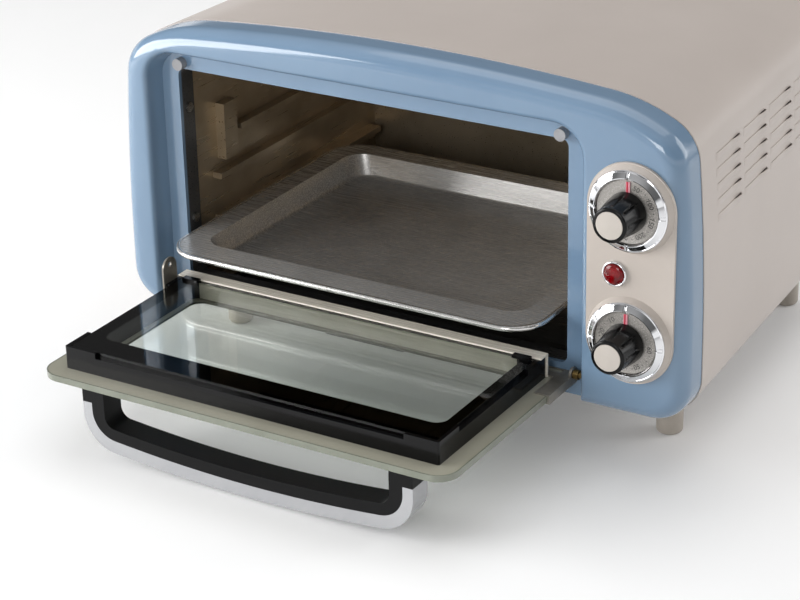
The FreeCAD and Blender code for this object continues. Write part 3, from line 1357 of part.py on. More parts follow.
def make_handle():
    """Black grip with two posts, a bright cover round its outside, and its screws."""
    half = d.handle_width / 2
    inner_z = d.glass_low_z - d.handle_gap
    seam_z = inner_z - d.handle_core
    outer = bowed_round(half, seam_z - d.handle_cover, d.handle_outer_round)
    core = bowed_round(half - d.handle_cover_side, seam_z,
                       d.handle_outer_round - d.handle_cover_side)
    finger = bowed_round(half - d.handle_post, inner_z, d.handle_inner_round)
    posts = block((d.open_x - half, d.handle_front_y, d.glass_low_z - d.handle_cover_start),
                  (d.open_x + half, d.handle_back_y, d.glass_low_z))
    holes = [Part.makeCylinder(d.handle_screw_diameter / 2 + d.fit_gap, d.handle_gap,
                               Vector(d.open_x + sign * d.handle_screw_x, d.handle_screw_y,
                                      d.glass_top_z - d.handle_screw_length - d.part_gap))
             for sign in (-1, 1)]
    inside = fused([core, posts])
    keep("handle_grip", plain("handle_grip", outer.common(inside).cut([finger] + holes)))
    keep("handle_cover", plain("handle_cover", outer.cut([inside, finger])))
    screws = []
    for number, x in enumerate(HANDLE_SCREWS):
        head = rod(f"handle_screw_head_{number}", (x, "handle_screw_y", "glass_top_z"), "z",
                   "handle_screw_head", "handle_screw_head_height")
        shank = rod(f"handle_screw_shank_{number}",
                    (x, "handle_screw_y", "glass_top_z - handle_screw_length"), "z",
                    "handle_screw_diameter", "handle_screw_length")
        screws.append(fuse(f"handle_screw_{number}", head, shank))
    keep("handle_screws", group("handle_screws", *screws))


def make_baking_tray():
    """Pressed tray: sloping sides, flat rim and a rolled edge round it."""
    left, right = d.tray_left_x, d.tray_left_x + d.tray_width
    front, back = d.tray_front_y, d.tray_front_y + d.tray_depth
    top = d.tray_rim_top_z
    floor = top - d.tray_deep

    def basin(inset, height, radius, level):
        low = (left + d.tray_rim_side + inset, front + d.tray_rim_front + inset)
        high = (right - d.tray_rim_side - inset, back - d.tray_rim_side - inset)
        return rounded_rect(low, high, radius, level + height, "z")

    corner, draft, sheet = d.tray_inner_corner, d.tray_draft, d.tray_sheet
    shell = Part.makeLoft([basin(draft, 0, corner, floor), basin(0, 0, corner, top)], True, True)
    low_edges = [edge for edge in shell.Edges
                 if all(abs(vertex.Point.z - floor) < 1e-6 for vertex in edge.Vertexes)]
    shell = shell.makeFillet(d.tray_bottom_round, low_edges)
    space = Part.makeLoft([basin(draft + sheet, sheet, corner - sheet, floor),
                           basin(sheet, 0, corner - sheet, top)], True, True)
    low_edges = [edge for edge in space.Edges
                 if all(abs(vertex.Point.z - floor - sheet) < 1e-6 for vertex in edge.Vertexes)]
    space = space.makeFillet(d.tray_bottom_round - sheet, low_edges)
    low, high = (left, front), (right, back)
    rim = rounded_prism(low, high, d.tray_corner, top - sheet, top, "z")
    lip = d.tray_lip
    edge_ring = rounded_prism(low, high, d.tray_corner, top - lip, top, "z")
    edge_ring = edge_ring.cut(rounded_prism((left + lip, front + lip), (right - lip, back - lip),
                                            d.tray_corner - lip, top - lip - 1, top + 1, "z"))
    shape = fused([shell, rim, edge_ring]).cut(space)
    keep("baking_tray", plain("baking_tray", shape))


def make_crumb_tray():
    """Shallow tray on rails under the lower elements, with a front face and a finger tab."""
    x = ("crumb_left_x", "crumb_right_x")
    back = "crumb_front_y + crumb_depth"
    solid = span("crumb_block", x, ("crumb_face_y", back), ("crumb_low_z", "crumb_top_z"))
    sheet = "crumb_sheet"
    inside = span("crumb_inside", (f"{x[0]} + {sheet}", f"{x[1]} - {sheet}"),
                  ("crumb_front_y", f"{back} - {sheet}"),
                  (f"crumb_low_z + {sheet}", "crumb_top_z + 1"))
    lap = "crumb_face_overlap"
    face = span("crumb_face", (f"{x[0]} - {lap}", f"{x[1]} + {lap}"),
                ("crumb_face_y - crumb_face_thick", "crumb_face_y"),
                (f"crumb_low_z - {lap}", f"crumb_top_z + {lap}"))
    tab = span("crumb_tab", ("open_x - crumb_tab_width / 2", "open_x + crumb_tab_width / 2"),
               ("crumb_face_y - crumb_face_thick - crumb_tab_reach", "crumb_face_y"),
               (f"crumb_low_z - {lap}", f"crumb_low_z - {lap} + crumb_face_thick"))
    keep("crumb_tray", fuse("crumb_tray", cut("crumb_pan", solid, inside), face, tab))


def check_and_write():
    """Refuse failed objects and bad shapes, then write one file for each sub-part."""
    doc.recompute()
    failed = [item.Name for item in doc.Objects if {"Invalid", "Error"} & set(item.State)]
    if failed:
        raise RuntimeError("failed objects: " + ", ".join(failed))
    for name, feature in sub_parts:
        shape = feature.Shape
        if shape.isNull() or not shape.isValid() or not shape.Solids:
            raise RuntimeError("bad shape: " + name)
    os.makedirs("parts", exist_ok=True)
    for name, feature in sub_parts:
        feature.Shape.exportStep(os.path.join("parts", name + ".step"))
    print(len(sub_parts), "sub-parts written")


def make_oven():
    """Build every sub-part."""
    make_casing()
    make_rear_panel()
    make_base_pan()
    make_feet()
    make_bezel()
    make_front_frame()
    make_frame_screws()
    make_cavity()
    make_heaters()
    make_control_plate()
    make_dial("upper", "upper_z")
    make_dial("lower", "lower_z")
    make_control_bracket()
    make_lamp()
    make_supply()
    make_hinge()
    make_door_glass()
    make_door_frame()
    make_hinge_strip()
    make_ear()
    make_clips_and_bumpers()
    make_handle()
    make_baking_tray()
    make_crumb_tray()


make_oven()
check_and_write()
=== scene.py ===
"""Looks for the electric countertop oven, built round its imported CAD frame, in metres."""

import math

import bmesh
import bpy
import numpy as np
from mathutils import Matrix, Vector


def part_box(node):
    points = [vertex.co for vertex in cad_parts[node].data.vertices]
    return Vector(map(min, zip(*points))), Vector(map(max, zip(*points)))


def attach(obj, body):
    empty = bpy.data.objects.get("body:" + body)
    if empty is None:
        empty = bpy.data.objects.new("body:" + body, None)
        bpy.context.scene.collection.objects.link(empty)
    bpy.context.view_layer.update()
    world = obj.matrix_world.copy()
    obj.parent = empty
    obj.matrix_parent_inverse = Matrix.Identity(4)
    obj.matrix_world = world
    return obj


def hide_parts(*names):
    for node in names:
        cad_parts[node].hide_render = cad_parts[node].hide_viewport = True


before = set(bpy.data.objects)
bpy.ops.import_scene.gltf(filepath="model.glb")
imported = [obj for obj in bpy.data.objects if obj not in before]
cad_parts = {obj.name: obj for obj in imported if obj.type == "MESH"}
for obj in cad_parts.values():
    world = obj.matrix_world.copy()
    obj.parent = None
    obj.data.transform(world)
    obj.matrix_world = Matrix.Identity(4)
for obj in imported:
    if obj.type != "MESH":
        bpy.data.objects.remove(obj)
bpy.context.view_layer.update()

TURN = 2 * math.pi

# places that the frame's own nodes give, in metres
CASE_LOW, CASE_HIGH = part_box("outer_casing")
GLASS_LOW, GLASS_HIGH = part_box("outer_glass")
DIALS = {"upper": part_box("upper_dial_face"), "lower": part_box("lower_dial_face")}
KNOBS = {"upper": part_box("upper_knob"), "lower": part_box("lower_knob")}
RINGS = {"upper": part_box("upper_dial_ring"), "lower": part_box("lower_dial_ring")}
BODIES = {"upper": "thermostat", "lower": "timer"}


def paint(red, green, blue):
    """A screen colour of 0 to 255 as the linear colour that a shader takes."""
    value = np.array([red, green, blue]) / 255
    linear = np.where(value <= 0.04045, value / 12.92, ((value + 0.055) / 1.055) ** 2.4)
    return (*(float(part) for part in linear), 1.0)


# Shapes


def grid(points, round_u=False, round_v=False, caps=False):
    """A surface through a grid of points of shape (u, v, 3), closed along u or v as asked.

    caps fills the first and last row of a surface that is closed along v."""
    rows, columns = points.shape[:2]
    index = np.arange(rows * columns).reshape(rows, columns)
    if round_v:
        index = np.concatenate([index, index[:, :1]], 1)
    if round_u:
        index = np.concatenate([index, index[:1]], 0)
    quads = np.stack([index[:-1, :-1], index[1:, :-1], index[1:, 1:], index[:-1, 1:]], -1)
    faces = quads.reshape(-1, 4).tolist()
    if caps:
        faces += [index[0, :columns].tolist(), index[-1, :columns].tolist()]
    return points.reshape(-1, 3), faces


def piece(name, shapes, material, body, crease=35.0):
    """One object of several shapes, with outward normals and edges sharper than crease kept."""
    mesh = bpy.data.meshes.new(name)
    start, vertices, faces = 0, [], []
    for points, polygons in shapes:
        vertices.append(points)
        faces += [[corner + start for corner in polygon] for polygon in polygons]
        start += len(points)
    mesh.from_pydata(np.concatenate(vertices).tolist(), [], faces)
    work = bmesh.new()
    work.from_mesh(mesh)
    bmesh.ops.remove_doubles(work, verts=work.verts, dist=1e-7)
    bmesh.ops.recalc_face_normals(work, faces=work.faces)
    work.to_mesh(mesh)
    work.free()
    mesh.polygons.foreach_set("use_smooth", [True] * len(mesh.polygons))
    mesh.set_sharp_from_angle(angle=math.radians(crease))
    mesh.materials.append(material)
    thing = bpy.data.objects.new(name, mesh)
    bpy.context.scene.collection.objects.link(thing)
    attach(thing, body)
    return thing


def middle(low, high):
    """The middle of a box across Y, as (x, z)."""
    return (low.x + high.x) / 2, (low.z + high.z) / 2


def lathe(profile, sectors, centre, radial=None, height=None):
    """A profile of (radius, forward) pairs turned about a line along Y through centre (x, z).

    The point at angle t from +Z, clockwise from the front, is centre + r (sin t, cos t); radial
    and height, if given, are functions (s, t) added to the radius and to the forward distance."""
    profile = np.array(profile, float)
    s, t = np.meshgrid(np.arange(len(profile)), np.arange(sectors) * TURN / sectors,
                       indexing="ij")
    r = profile[:, 0][:, None] + np.zeros_like(t)
    y = profile[:, 1][:, None] + np.zeros_like(t)
    if radial:
        r = r + radial(s, t)
    if height:
        y = y + height(s, t)
    return np.stack([centre[0] + r * np.sin(t), y, centre[1] + r * np.cos(t)], -1)


def loop(low, high, radius, steps=10):
    """A rounded rectangle between two corners (a, b): its four arcs, in order, as (n, 2)."""
    angles = np.linspace(0, math.pi / 2, steps)
    corners = [(high[0] - radius, high[1] - radius, 0), (low[0] + radius, high[1] - radius, 1),
               (low[0] + radius, low[1] + radius, 2), (high[0] - radius, low[1] + radius, 3)]
    arcs = [np.stack([x + radius * np.cos(angles + q * math.pi / 2),
                      y + radius * np.sin(angles + q * math.pi / 2)], -1)
            for x, y, q in corners]
    return np.concatenate(arcs)


def smooth_step(value):
    """0 below 0, 1 above 1 and 3v^2 - 2v^3 between."""
    value = np.clip(value, 0, 1)
    return value * value * (3 - 2 * value)


# Shader groups and materials


def group(name, inputs, outputs):
    """A new shader node group with the sockets named in (name, kind, default) rows."""
    tree = bpy.data.node_groups.new(name, "ShaderNodeTree")
    for label, kind, default in inputs:
        socket = tree.interface.new_socket(label, in_out="INPUT", socket_type=kind)
        socket.default_value = default
    for label, kind in outputs:
        tree.interface.new_socket(label, in_out="OUTPUT", socket_type=kind)
    return tree, tree.nodes.new("NodeGroupInput"), tree.nodes.new("NodeGroupOutput")


def node(tree, kind, links=None, **settings):
    """A node of a tree with its settings, and its inputs linked or set by socket name."""
    made = tree.nodes.new(kind)
    for key, value in settings.items():
        setattr(made, key, value)
    for key, value in (links or {}).items():
        socket = made.inputs[key]
        if isinstance(value, bpy.types.NodeSocket):
            tree.links.new(value, socket)
        else:
            socket.default_value = value
    return made


FLOAT, COLOUR, VECTOR = "NodeSocketFloat", "NodeSocketColor", "NodeSocketVector"


def make_tone():
    """Two colours mixed by soft cloudy noise on Object coordinates."""
    tree, given, out = group("tone", [("First", COLOUR, (1, 1, 1, 1)),
                                      ("Second", COLOUR, (0, 0, 0, 1)),
                                      ("Scale", FLOAT, 20.0)],
                             [("Colour", COLOUR), ("Mask", FLOAT)])
    place = node(tree, "ShaderNodeTexCoord").outputs["Object"]
    cloud = node(tree, "ShaderNodeTexNoise", {"Vector": place, "Scale": given.outputs["Scale"],
                                              "Detail": 4.0, "Roughness": 0.55})
    spread = node(tree, "ShaderNodeMapRange", {"Value": cloud.outputs["Fac"], "From Min": 0.35,
                                               "From Max": 0.65})
    mix = node(tree, "ShaderNodeMix", data_type="RGBA")
    tree.links.new(spread.outputs["Result"], mix.inputs["Factor"])
    tree.links.new(given.outputs["First"], mix.inputs["A"])
    tree.links.new(given.outputs["Second"], mix.inputs["B"])
    tree.links.new(mix.outputs["Result"], out.inputs["Colour"])
    tree.links.new(spread.outputs["Result"], out.inputs["Mask"])
    return tree


def make_grain():
    """Fine noise on stretched Object coordinates, for brushing, moulded grain and orange peel."""
    tree, given, out = group("grain", [("Stretch", VECTOR, (1, 1, 1)), ("Scale", FLOAT, 900.0)],
                             [("Height", FLOAT)])
    place = node(tree, "ShaderNodeTexCoord").outputs["Object"]
    scaled = node(tree, "ShaderNodeVectorMath", operation="MULTIPLY")
    tree.links.new(place, scaled.inputs[0])
    tree.links.new(given.outputs["Stretch"], scaled.inputs[1])
    cloud = node(tree, "ShaderNodeTexNoise", {"Vector": scaled.outputs["Vector"],
                                              "Scale": given.outputs["Scale"], "Detail": 3.0})
    tree.links.new(cloud.outputs["Fac"], out.inputs["Height"])
    return tree


def make_edge():
    """A mask of worn edges: where a rounded-off normal leaves the real one, broken by noise."""
    tree, given, out = group("edge", [("Radius", FLOAT, 0.0006), ("Amount", FLOAT, 0.6)],
                             [("Mask", FLOAT)])
    soft = node(tree, "ShaderNodeBevel", {"Radius": given.outputs["Radius"]}, samples=4)
    hard = node(tree, "ShaderNodeNewGeometry")
    match = node(tree, "ShaderNodeVectorMath", operation="DOT_PRODUCT")
    tree.links.new(soft.outputs["Normal"], match.inputs[0])
    tree.links.new(hard.outputs["Normal"], match.inputs[1])
    edge = node(tree, "ShaderNodeMapRange", {"Value": match.outputs["Value"], "From Min": 0.98,
                                             "From Max": 0.75})
    place = node(tree, "ShaderNodeTexCoord").outputs["Object"]
    cloud = node(tree, "ShaderNodeTexNoise", {"Vector": place, "Scale": 160.0, "Detail": 5.0})
    patch = node(tree, "ShaderNodeMapRange", {"Value": cloud.outputs["Fac"], "From Min": 0.4,
                                              "From Max": 0.6})
    broken = node(tree, "ShaderNodeMath", {0: edge.outputs["Result"],
                                           1: patch.outputs["Result"]}, operation="MULTIPLY")
    mask = node(tree, "ShaderNodeMath", {0: broken.outputs[0], 1: given.outputs["Amount"]},
                operation="MULTIPLY", use_clamp=True)
    tree.links.new(mask.outputs[0], out.inputs["Mask"])
    return tree


TONE, GRAIN, EDGE = make_tone(), make_grain(), make_edge()


def finish(name, first, second, scale, rough, grain, bump, wear=None, **plain):
    """A material: two tones, roughness between two values, grain as bump, and worn edges.

    plain sets sockets of the shader by name, such as Metallic or Coat Weight."""
    material = bpy.data.materials.new(name)
    material.use_nodes = True
    tree = material.node_tree
    shader = tree.nodes["Principled BSDF"]
    tone = node(tree, "ShaderNodeGroup", node_tree=TONE)
    tone.inputs["First"].default_value = paint(*first)
    tone.inputs["Second"].default_value = paint(*second)
    tone.inputs["Scale"].default_value = scale
    fine = node(tree, "ShaderNodeGroup", node_tree=GRAIN)
    fine.inputs["Stretch"].default_value = grain[0]
    fine.inputs["Scale"].default_value = grain[1]
    colour = tone.outputs["Colour"]
    roughness = node(tree, "ShaderNodeMapRange", {"Value": fine.outputs["Height"],
                                                  "From Min": 0.3, "From Max": 0.7,
                                                  "To Min": rough[0], "To Max": rough[1]})
    value = roughness.outputs["Result"]
    if wear:
        edge = node(tree, "ShaderNodeGroup", node_tree=EDGE)
        edge.inputs["Amount"].default_value = wear[1]
        worn = node(tree, "ShaderNodeMix", data_type="RGBA")
        tree.links.new(edge.outputs["Mask"], worn.inputs["Factor"])
        tree.links.new(colour, worn.inputs["A"])
        worn.inputs["B"].default_value = paint(*wear[0])
        colour = worn.outputs["Result"]
    tree.links.new(colour, shader.inputs["Base Color"])
    tree.links.new(value, shader.inputs["Roughness"])
    raised = node(tree, "ShaderNodeBump", {"Height": fine.outputs["Height"], "Distance": bump})
    tree.links.new(raised.outputs["Normal"], shader.inputs["Normal"])
    for label, setting in plain.items():
        shader.inputs[label.replace("_", " ")].default_value = setting
    return material


# how a material's grain is stretched: not at all, or into streaks along one axis
EVEN, ALONG_X, ALONG_Y = (1, 1, 1), (0.04, 1, 1), (1, 0.04, 1)

CASE = finish("case_paint", (190, 180, 173), (185, 175, 168), 9, (0.36, 0.44), (EVEN, 1400),
              2e-5, ((165, 157, 149), 0.5), Coat_Weight=0.15)
BLUE = finish("bezel_blue", (113, 138, 162), (108, 133, 158), 14, (0.10, 0.16), (EVEN, 500),
              1e-5, ((160, 178, 198), 0.35), Coat_Weight=0.5, Coat_Roughness=0.05)
GREIGE = finish("greige_plastic", (187, 178, 170), (182, 173, 165), 30, (0.34, 0.44),
                (EVEN, 1800), 2e-5, ((182, 173, 165), 0.3))
CAP = finish("knob_cap", (190, 183, 175), (185, 178, 170), 30, (0.30, 0.40), (EVEN, 1800), 2e-5,
             ((182, 173, 165), 0.3))
TRIM = finish("window_trim", (226, 220, 202), (216, 210, 192), 30, (0.24, 0.34), (ALONG_X, 900),
              2e-6, ((232, 228, 214), 0.3))
FEET = finish("foot_plastic", (178, 170, 160), (168, 160, 150), 60, (0.42, 0.55), (EVEN, 1800),
              5e-5, ((150, 143, 134), 0.6))
ZINC = finish("zinc_steel", (158, 158, 156), (149, 149, 147), 30, (0.28, 0.45), (ALONG_X, 900),
              2e-5, ((190, 190, 188), 0.6), Metallic=1.0)
CAVITY = finish("cavity_steel", (186, 170, 146), (160, 145, 122), 18, (0.26, 0.40),
                (ALONG_Y, 700), 4e-6, ((206, 194, 174), 0.5), Metallic=0.75)
# front frame and crumb tray below the tray: their dark grey is partly the parts' own dark colour
# and partly painted shade from under the tray
DARK_STEEL_AND_SHADE = finish("dark_steel_and_painted_shade", (60, 60, 60), (50, 50, 50), 40, (0.25, 0.40),
                   (ALONG_X, 900), 2e-5, ((76, 75, 74), 0.5), Coat_Weight=0.4)
# the hinge strip is steel but drawn as an off-white non-metal: this colour is its bright
# reflection painted in, a painted sheen
STRIP_PAINTED_SHEEN = finish("strip_steel_painted_sheen", (240, 233, 219), (232, 225, 211), 30, (0.24, 0.30), (ALONG_X, 900),
               2e-6, ((244, 240, 232), 0.5), Metallic=0.0, Specular_IOR_Level=0.8)
PLATE = finish("hinge_steel", (146, 142, 134), (122, 118, 110), 60, (0.28, 0.42), (EVEN, 1200),
               3e-5, ((196, 192, 184), 0.6), Metallic=0.5)
SCREW = finish("screw_steel", (170, 168, 164), (140, 138, 134), 200, (0.22, 0.36), (EVEN, 1500),
               2e-5, ((200, 198, 194), 0.6), Metallic=1.0)
ELEMENT = finish("element", (62, 58, 54), (46, 42, 38), 50, (0.40, 0.60), (ALONG_X, 600), 5e-5,
                 ((90, 84, 78), 0.4), Metallic=0.8)
CERAMIC = finish("ceramic", (226, 220, 208), (214, 206, 192), 80, (0.55, 0.75), (EVEN, 1500),
                 6e-5, ((200, 192, 178), 0.5))
CHROME = finish("chrome", (236, 236, 238), (226, 227, 230), 40, (0.04, 0.08), (EVEN, 900), 1e-6,
                Metallic=1.0)
SILVER = finish("handle_silver", (186, 187, 189), (180, 181, 184), 30, (0.14, 0.18),
                (EVEN, 700), 2e-6, ((222, 222, 225), 0.3), Metallic=0.5, Coat_Weight=0.3)
BLACK = finish("gloss_black", (9, 9, 10), (7, 7, 8), 60, (0.12, 0.20), (EVEN, 1300), 5e-6,
               ((34, 34, 36), 0.5), Specular_IOR_Level=0.25)
GRIP = finish("grip_black", (10, 10, 11), (8, 8, 9), 60, (0.34, 0.48), (EVEN, 2200), 3e-5,
              ((30, 30, 32), 0.5), Specular_IOR_Level=0.18)
KNOB = finish("knob_black", (8, 8, 9), (6, 6, 7), 60, (0.16, 0.22), (EVEN, 1600), 3e-6,
              Specular_IOR_Level=0.22)
DIAL = finish("dial_face", (168, 164, 159), (166, 162, 157), 60, (0.26, 0.28), (EVEN, 1500),
              1e-7, Metallic=0.35)
INK = finish("dial_ink", (44, 42, 42), (34, 32, 32), 400, (0.45, 0.6), (EVEN, 2000), 1e-5)
RED = finish("pointer_red", (196, 26, 58), (176, 20, 48), 200, (0.30, 0.42), (EVEN, 1500), 1e-5,
             ((226, 120, 140), 0.8))
LENS = finish("lamp_lens", (128, 3, 12), (84, 1, 5), 260, (0.05, 0.10), (EVEN, 500), 1e-5,
              Coat_Weight=0.1, Specular_IOR_Level=0.35)
BRASS = finish("brass", (128, 108, 68), (106, 88, 52), 150, (0.30, 0.42), (EVEN, 1500), 2e-5,
               ((160, 140, 96), 0.5), Metallic=1.0)
TRAY = finish("tray_steel", (188, 186, 183), (176, 174, 171), 24, (0.24, 0.30), (ALONG_X, 1200),
              2e-6, ((214, 212, 208), 0.6), Metallic=0.55)
BEAD = finish("rolled_rim", (226, 225, 222), (212, 211, 208), 60, (0.14, 0.22), (EVEN, 1200),
              2e-6, Metallic=0.9)
RUBBER = finish("rubber", (152, 152, 154), (140, 140, 142), 150, (0.55, 0.7), (EVEN, 1500),
                4e-5, ((120, 120, 122), 0.4))
PRINT = finish("border_print", (156, 154, 139), (151, 149, 134), 30, (0.16, 0.24), (EVEN, 900),
               5e-6, ((150, 150, 134), 0.3), Coat_Weight=0.4)
OUTER = finish("outer_glass", (244, 248, 244), (240, 245, 240), 20, (0.01, 0.03), (EVEN, 60),
               1e-6, Transmission_Weight=1.0, IOR=1.5)
INNER = finish("inner_glass", (248, 251, 249), (245, 249, 247), 20, (0.01, 0.03), (EVEN, 60),
               1e-6, Transmission_Weight=1.0, IOR=1.4)
RIM = finish("glass_rim", (126, 130, 117), (116, 120, 107), 60, (0.10, 0.18), (EVEN, 900), 5e-6,
             ((156, 160, 148), 0.4), Coat_Weight=0.4)
PINK = finish("pointer_pink", (214, 150, 160), (206, 140, 152), 200, (0.2, 0.3), (EVEN, 1500),
              2e-6)


# The frame's own nodes

DRESS = {
    CASE: ["outer_casing"],
    BLUE: ["front_bezel"],
    GREIGE: ["control_plate"],
    CAP: ["upper_knob_cap", "lower_knob_cap"],
    FEET: ["foot_front_left", "foot_front_right", "foot_rear_left", "foot_rear_right"],
    ZINC: ["rear_panel", "base_pan", "control_bracket", "thermostat_shaft", "timer_shaft"],
    CAVITY: ["cavity_left_wall", "cavity_right_wall", "cavity_top", "cavity_back"],
    DARK_STEEL_AND_SHADE: ["front_frame", "crumb_tray"],
    STRIP_PAINTED_SHEEN: ["hinge_strip"],
    PLATE: ["hinge_bracket_left", "hinge_bracket_right", "door_ear"],
    SCREW: ["rear_screws", "foot_screws", "bezel_screws", "frame_screws", "bracket_screws",
            "handle_screws"],
    ELEMENT: ["lower_heater_front", "lower_heater_rear", "upper_heater_front",
              "upper_heater_rear"],
    CERAMIC: ["heater_bushes", "terminal_block"],
    CHROME: ["upper_dial_ring", "lower_dial_ring", "lamp_ring"],
    SILVER: ["handle_cover"],
    BLACK: ["thermostat_body", "timer_body", "lamp_body", "cord_gland", "door_frame",
            "inner_glass_clips"],
    GRIP: ["handle_grip"],
    KNOB: ["upper_knob", "lower_knob"],
    DIAL: ["upper_dial_face", "lower_dial_face"],
    RED: ["upper_pointer", "lower_pointer"],
    LENS: ["lamp_lens"],
    BRASS: ["hinge_pins"],
    TRAY: ["baking_tray"],
    RUBBER: ["door_bumpers"],
    OUTER: ["outer_glass"],
    INNER: ["inner_glass"],
}


WELD_WIDTH = 1e-6
NODE_CREASE = math.radians(28)


def dress_nodes():
    """Gives each node its material, and smooth shading that breaks only at real edges."""
    for material, names in DRESS.items():
        for name in names:
            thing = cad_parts[name]
            mesh = thing.data
            mesh.materials.clear()
            mesh.materials.append(material)
            if "custom_normal" in mesh.attributes:
                mesh.attributes.remove(mesh.attributes["custom_normal"])
            mesh.polygons.foreach_set("use_smooth", [True] * len(mesh.polygons))
            weld = thing.modifiers.new("weld", "WELD")
            weld.merge_threshold = WELD_WIDTH
            split = thing.modifiers.new("edges", "EDGE_SPLIT")
            split.split_angle = NODE_CREASE


# New pieces, in metres

LOUVRE_ROWS, LOUVRE_COLUMNS = 5, 5
LOUVRE_FIRST, LOUVRE_STEP = (-0.0360, 0.1665), (0.047, 0.0097)
LOUVRE_LONG, LOUVRE_WIDE, LOUVRE_HIGH, LOUVRE_SHEET = 0.0405, 0.0048, 0.0019, 0.0006
# along a hood, as shares of its length: the low entry and its height, the rise, the steep end
ENTRY_LONG, ENTRY_HIGH, RISE_START, RISE_LONG, END_LONG = 0.08, 0.22, 0.58, 0.34, 0.05
LOUVRE_SKIN = 0.00005
SIDE_RADIUS, SIDE_LEVEL, CASE_TAPER = 1.4, 0.087, 0.0176


def side_reach(y, z):
    """How far out the case's side is: it narrows to the rear and bulges by its side radius."""
    half = CASE_HIGH.x - CASE_TAPER * (y - CASE_LOW.y) / (CASE_HIGH.y - CASE_LOW.y)
    up = np.maximum(z - SIDE_LEVEL, 0)
    return half - (SIDE_RADIUS - np.sqrt(SIDE_RADIUS ** 2 - up ** 2))


def make_louvres():
    """Pressed hoods over the side slots. Their height over the side is H e(u) f(v): e rises
    along the length and drops steeply at the rear, and f is 0 at the lower edge and 1 at the
    upper one, which stands open over the slot."""
    u, v = np.meshgrid(np.linspace(0, 1, 33), np.linspace(0, 1, 9), indexing="ij")
    rise = (1 - ENTRY_HIGH) * smooth_step((u - RISE_START) / RISE_LONG)
    rise = (rise + ENTRY_HIGH * smooth_step(u / ENTRY_LONG)) * smooth_step((1 - u) / END_LONG)
    bulge = LOUVRE_HIGH * rise * np.sin(v * math.pi / 2) ** 0.9
    for name, side in (("louvres_right", 1), ("louvres_left", -1)):
        shapes = []
        for row in range(LOUVRE_ROWS):
            for column in range(LOUVRE_COLUMNS):
                y = LOUVRE_FIRST[0] + column * LOUVRE_STEP[0] + LOUVRE_LONG * u
                z = LOUVRE_FIRST[1] + row * LOUVRE_STEP[1] - LOUVRE_WIDE * (1 - v)
                wall = side_reach(y, z)
                outer = np.stack([side * (wall + bulge + LOUVRE_SKIN), y, z], -1)
                inner = np.stack([side * (wall + bulge - LOUVRE_SHEET), y, z], -1)
                ring = np.concatenate([outer, inner[:, ::-1]], 1)
                shapes.append(grid(ring, round_v=True, caps=True))
        piece(name, shapes, CASE, "oven")


PRINT_SKIN = 0.00006
PRINT_INSET, RIM_INSET, GLASS_CORNER = 0.0008, 0.0009, 0.014
# the border's inner edge, inwards from the door's frame at its sides, front and hinge side
BORDER_SIDE, BORDER_FRONT, BORDER_REAR, BORDER_CORNER = 0.0155, 0.0285, 0.0115, 0.009


def flat_ring(outer, inner, low, high):
    """A flat ring between two outlines of as many points: its section is a rectangle."""
    rows = [(outer, low), (outer, high), (inner, high), (inner, low)]
    ring = np.stack([np.column_stack([line, np.full(len(line), level)])
                     for line, level in rows])
    return grid(ring, round_u=True, round_v=True)


def make_print():
    """The outer glass's printed border, on both faces, and its ground rim: flat rings that
    follow the glass's rounded outline."""
    low = np.array([GLASS_LOW.x, GLASS_LOW.y])
    high = np.array([GLASS_HIGH.x, GLASS_HIGH.y])
    door_low, door_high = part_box("door_frame")
    window = loop((door_low.x + BORDER_SIDE, door_low.y + BORDER_FRONT),
                  (door_high.x - BORDER_SIDE, door_high.y - BORDER_REAR), BORDER_CORNER)
    edge = loop(low + PRINT_INSET, high - PRINT_INSET, GLASS_CORNER - PRINT_INSET)
    top, bottom = GLASS_HIGH.z, GLASS_LOW.z
    shapes = [flat_ring(edge, window, top + PRINT_SKIN / 3, top + PRINT_SKIN),
              flat_ring(edge, window, bottom - PRINT_SKIN, bottom - PRINT_SKIN / 3)]
    piece("border_print", shapes, PRINT, "door")
    skin = loop(low - PRINT_SKIN, high + PRINT_SKIN, GLASS_CORNER + PRINT_SKIN)
    core = loop(low + RIM_INSET, high - RIM_INSET, GLASS_CORNER - RIM_INSET)
    rim = flat_ring(skin, core, bottom - PRINT_SKIN, top + PRINT_SKIN)
    piece("glass_rim", [rim], RIM, "door")


NOTCHES, NOTCH_DEEP, NOTCH_SHARE = 8, 0.0010, 0.26
KNOB_TIP, KNOB_BORE, KNOB_ROUND = 0.0111, 0.0036, 0.0006
CAP_PLAY, CAP_SEAT = 0.0002, 0.0012
POLE = 0.0005


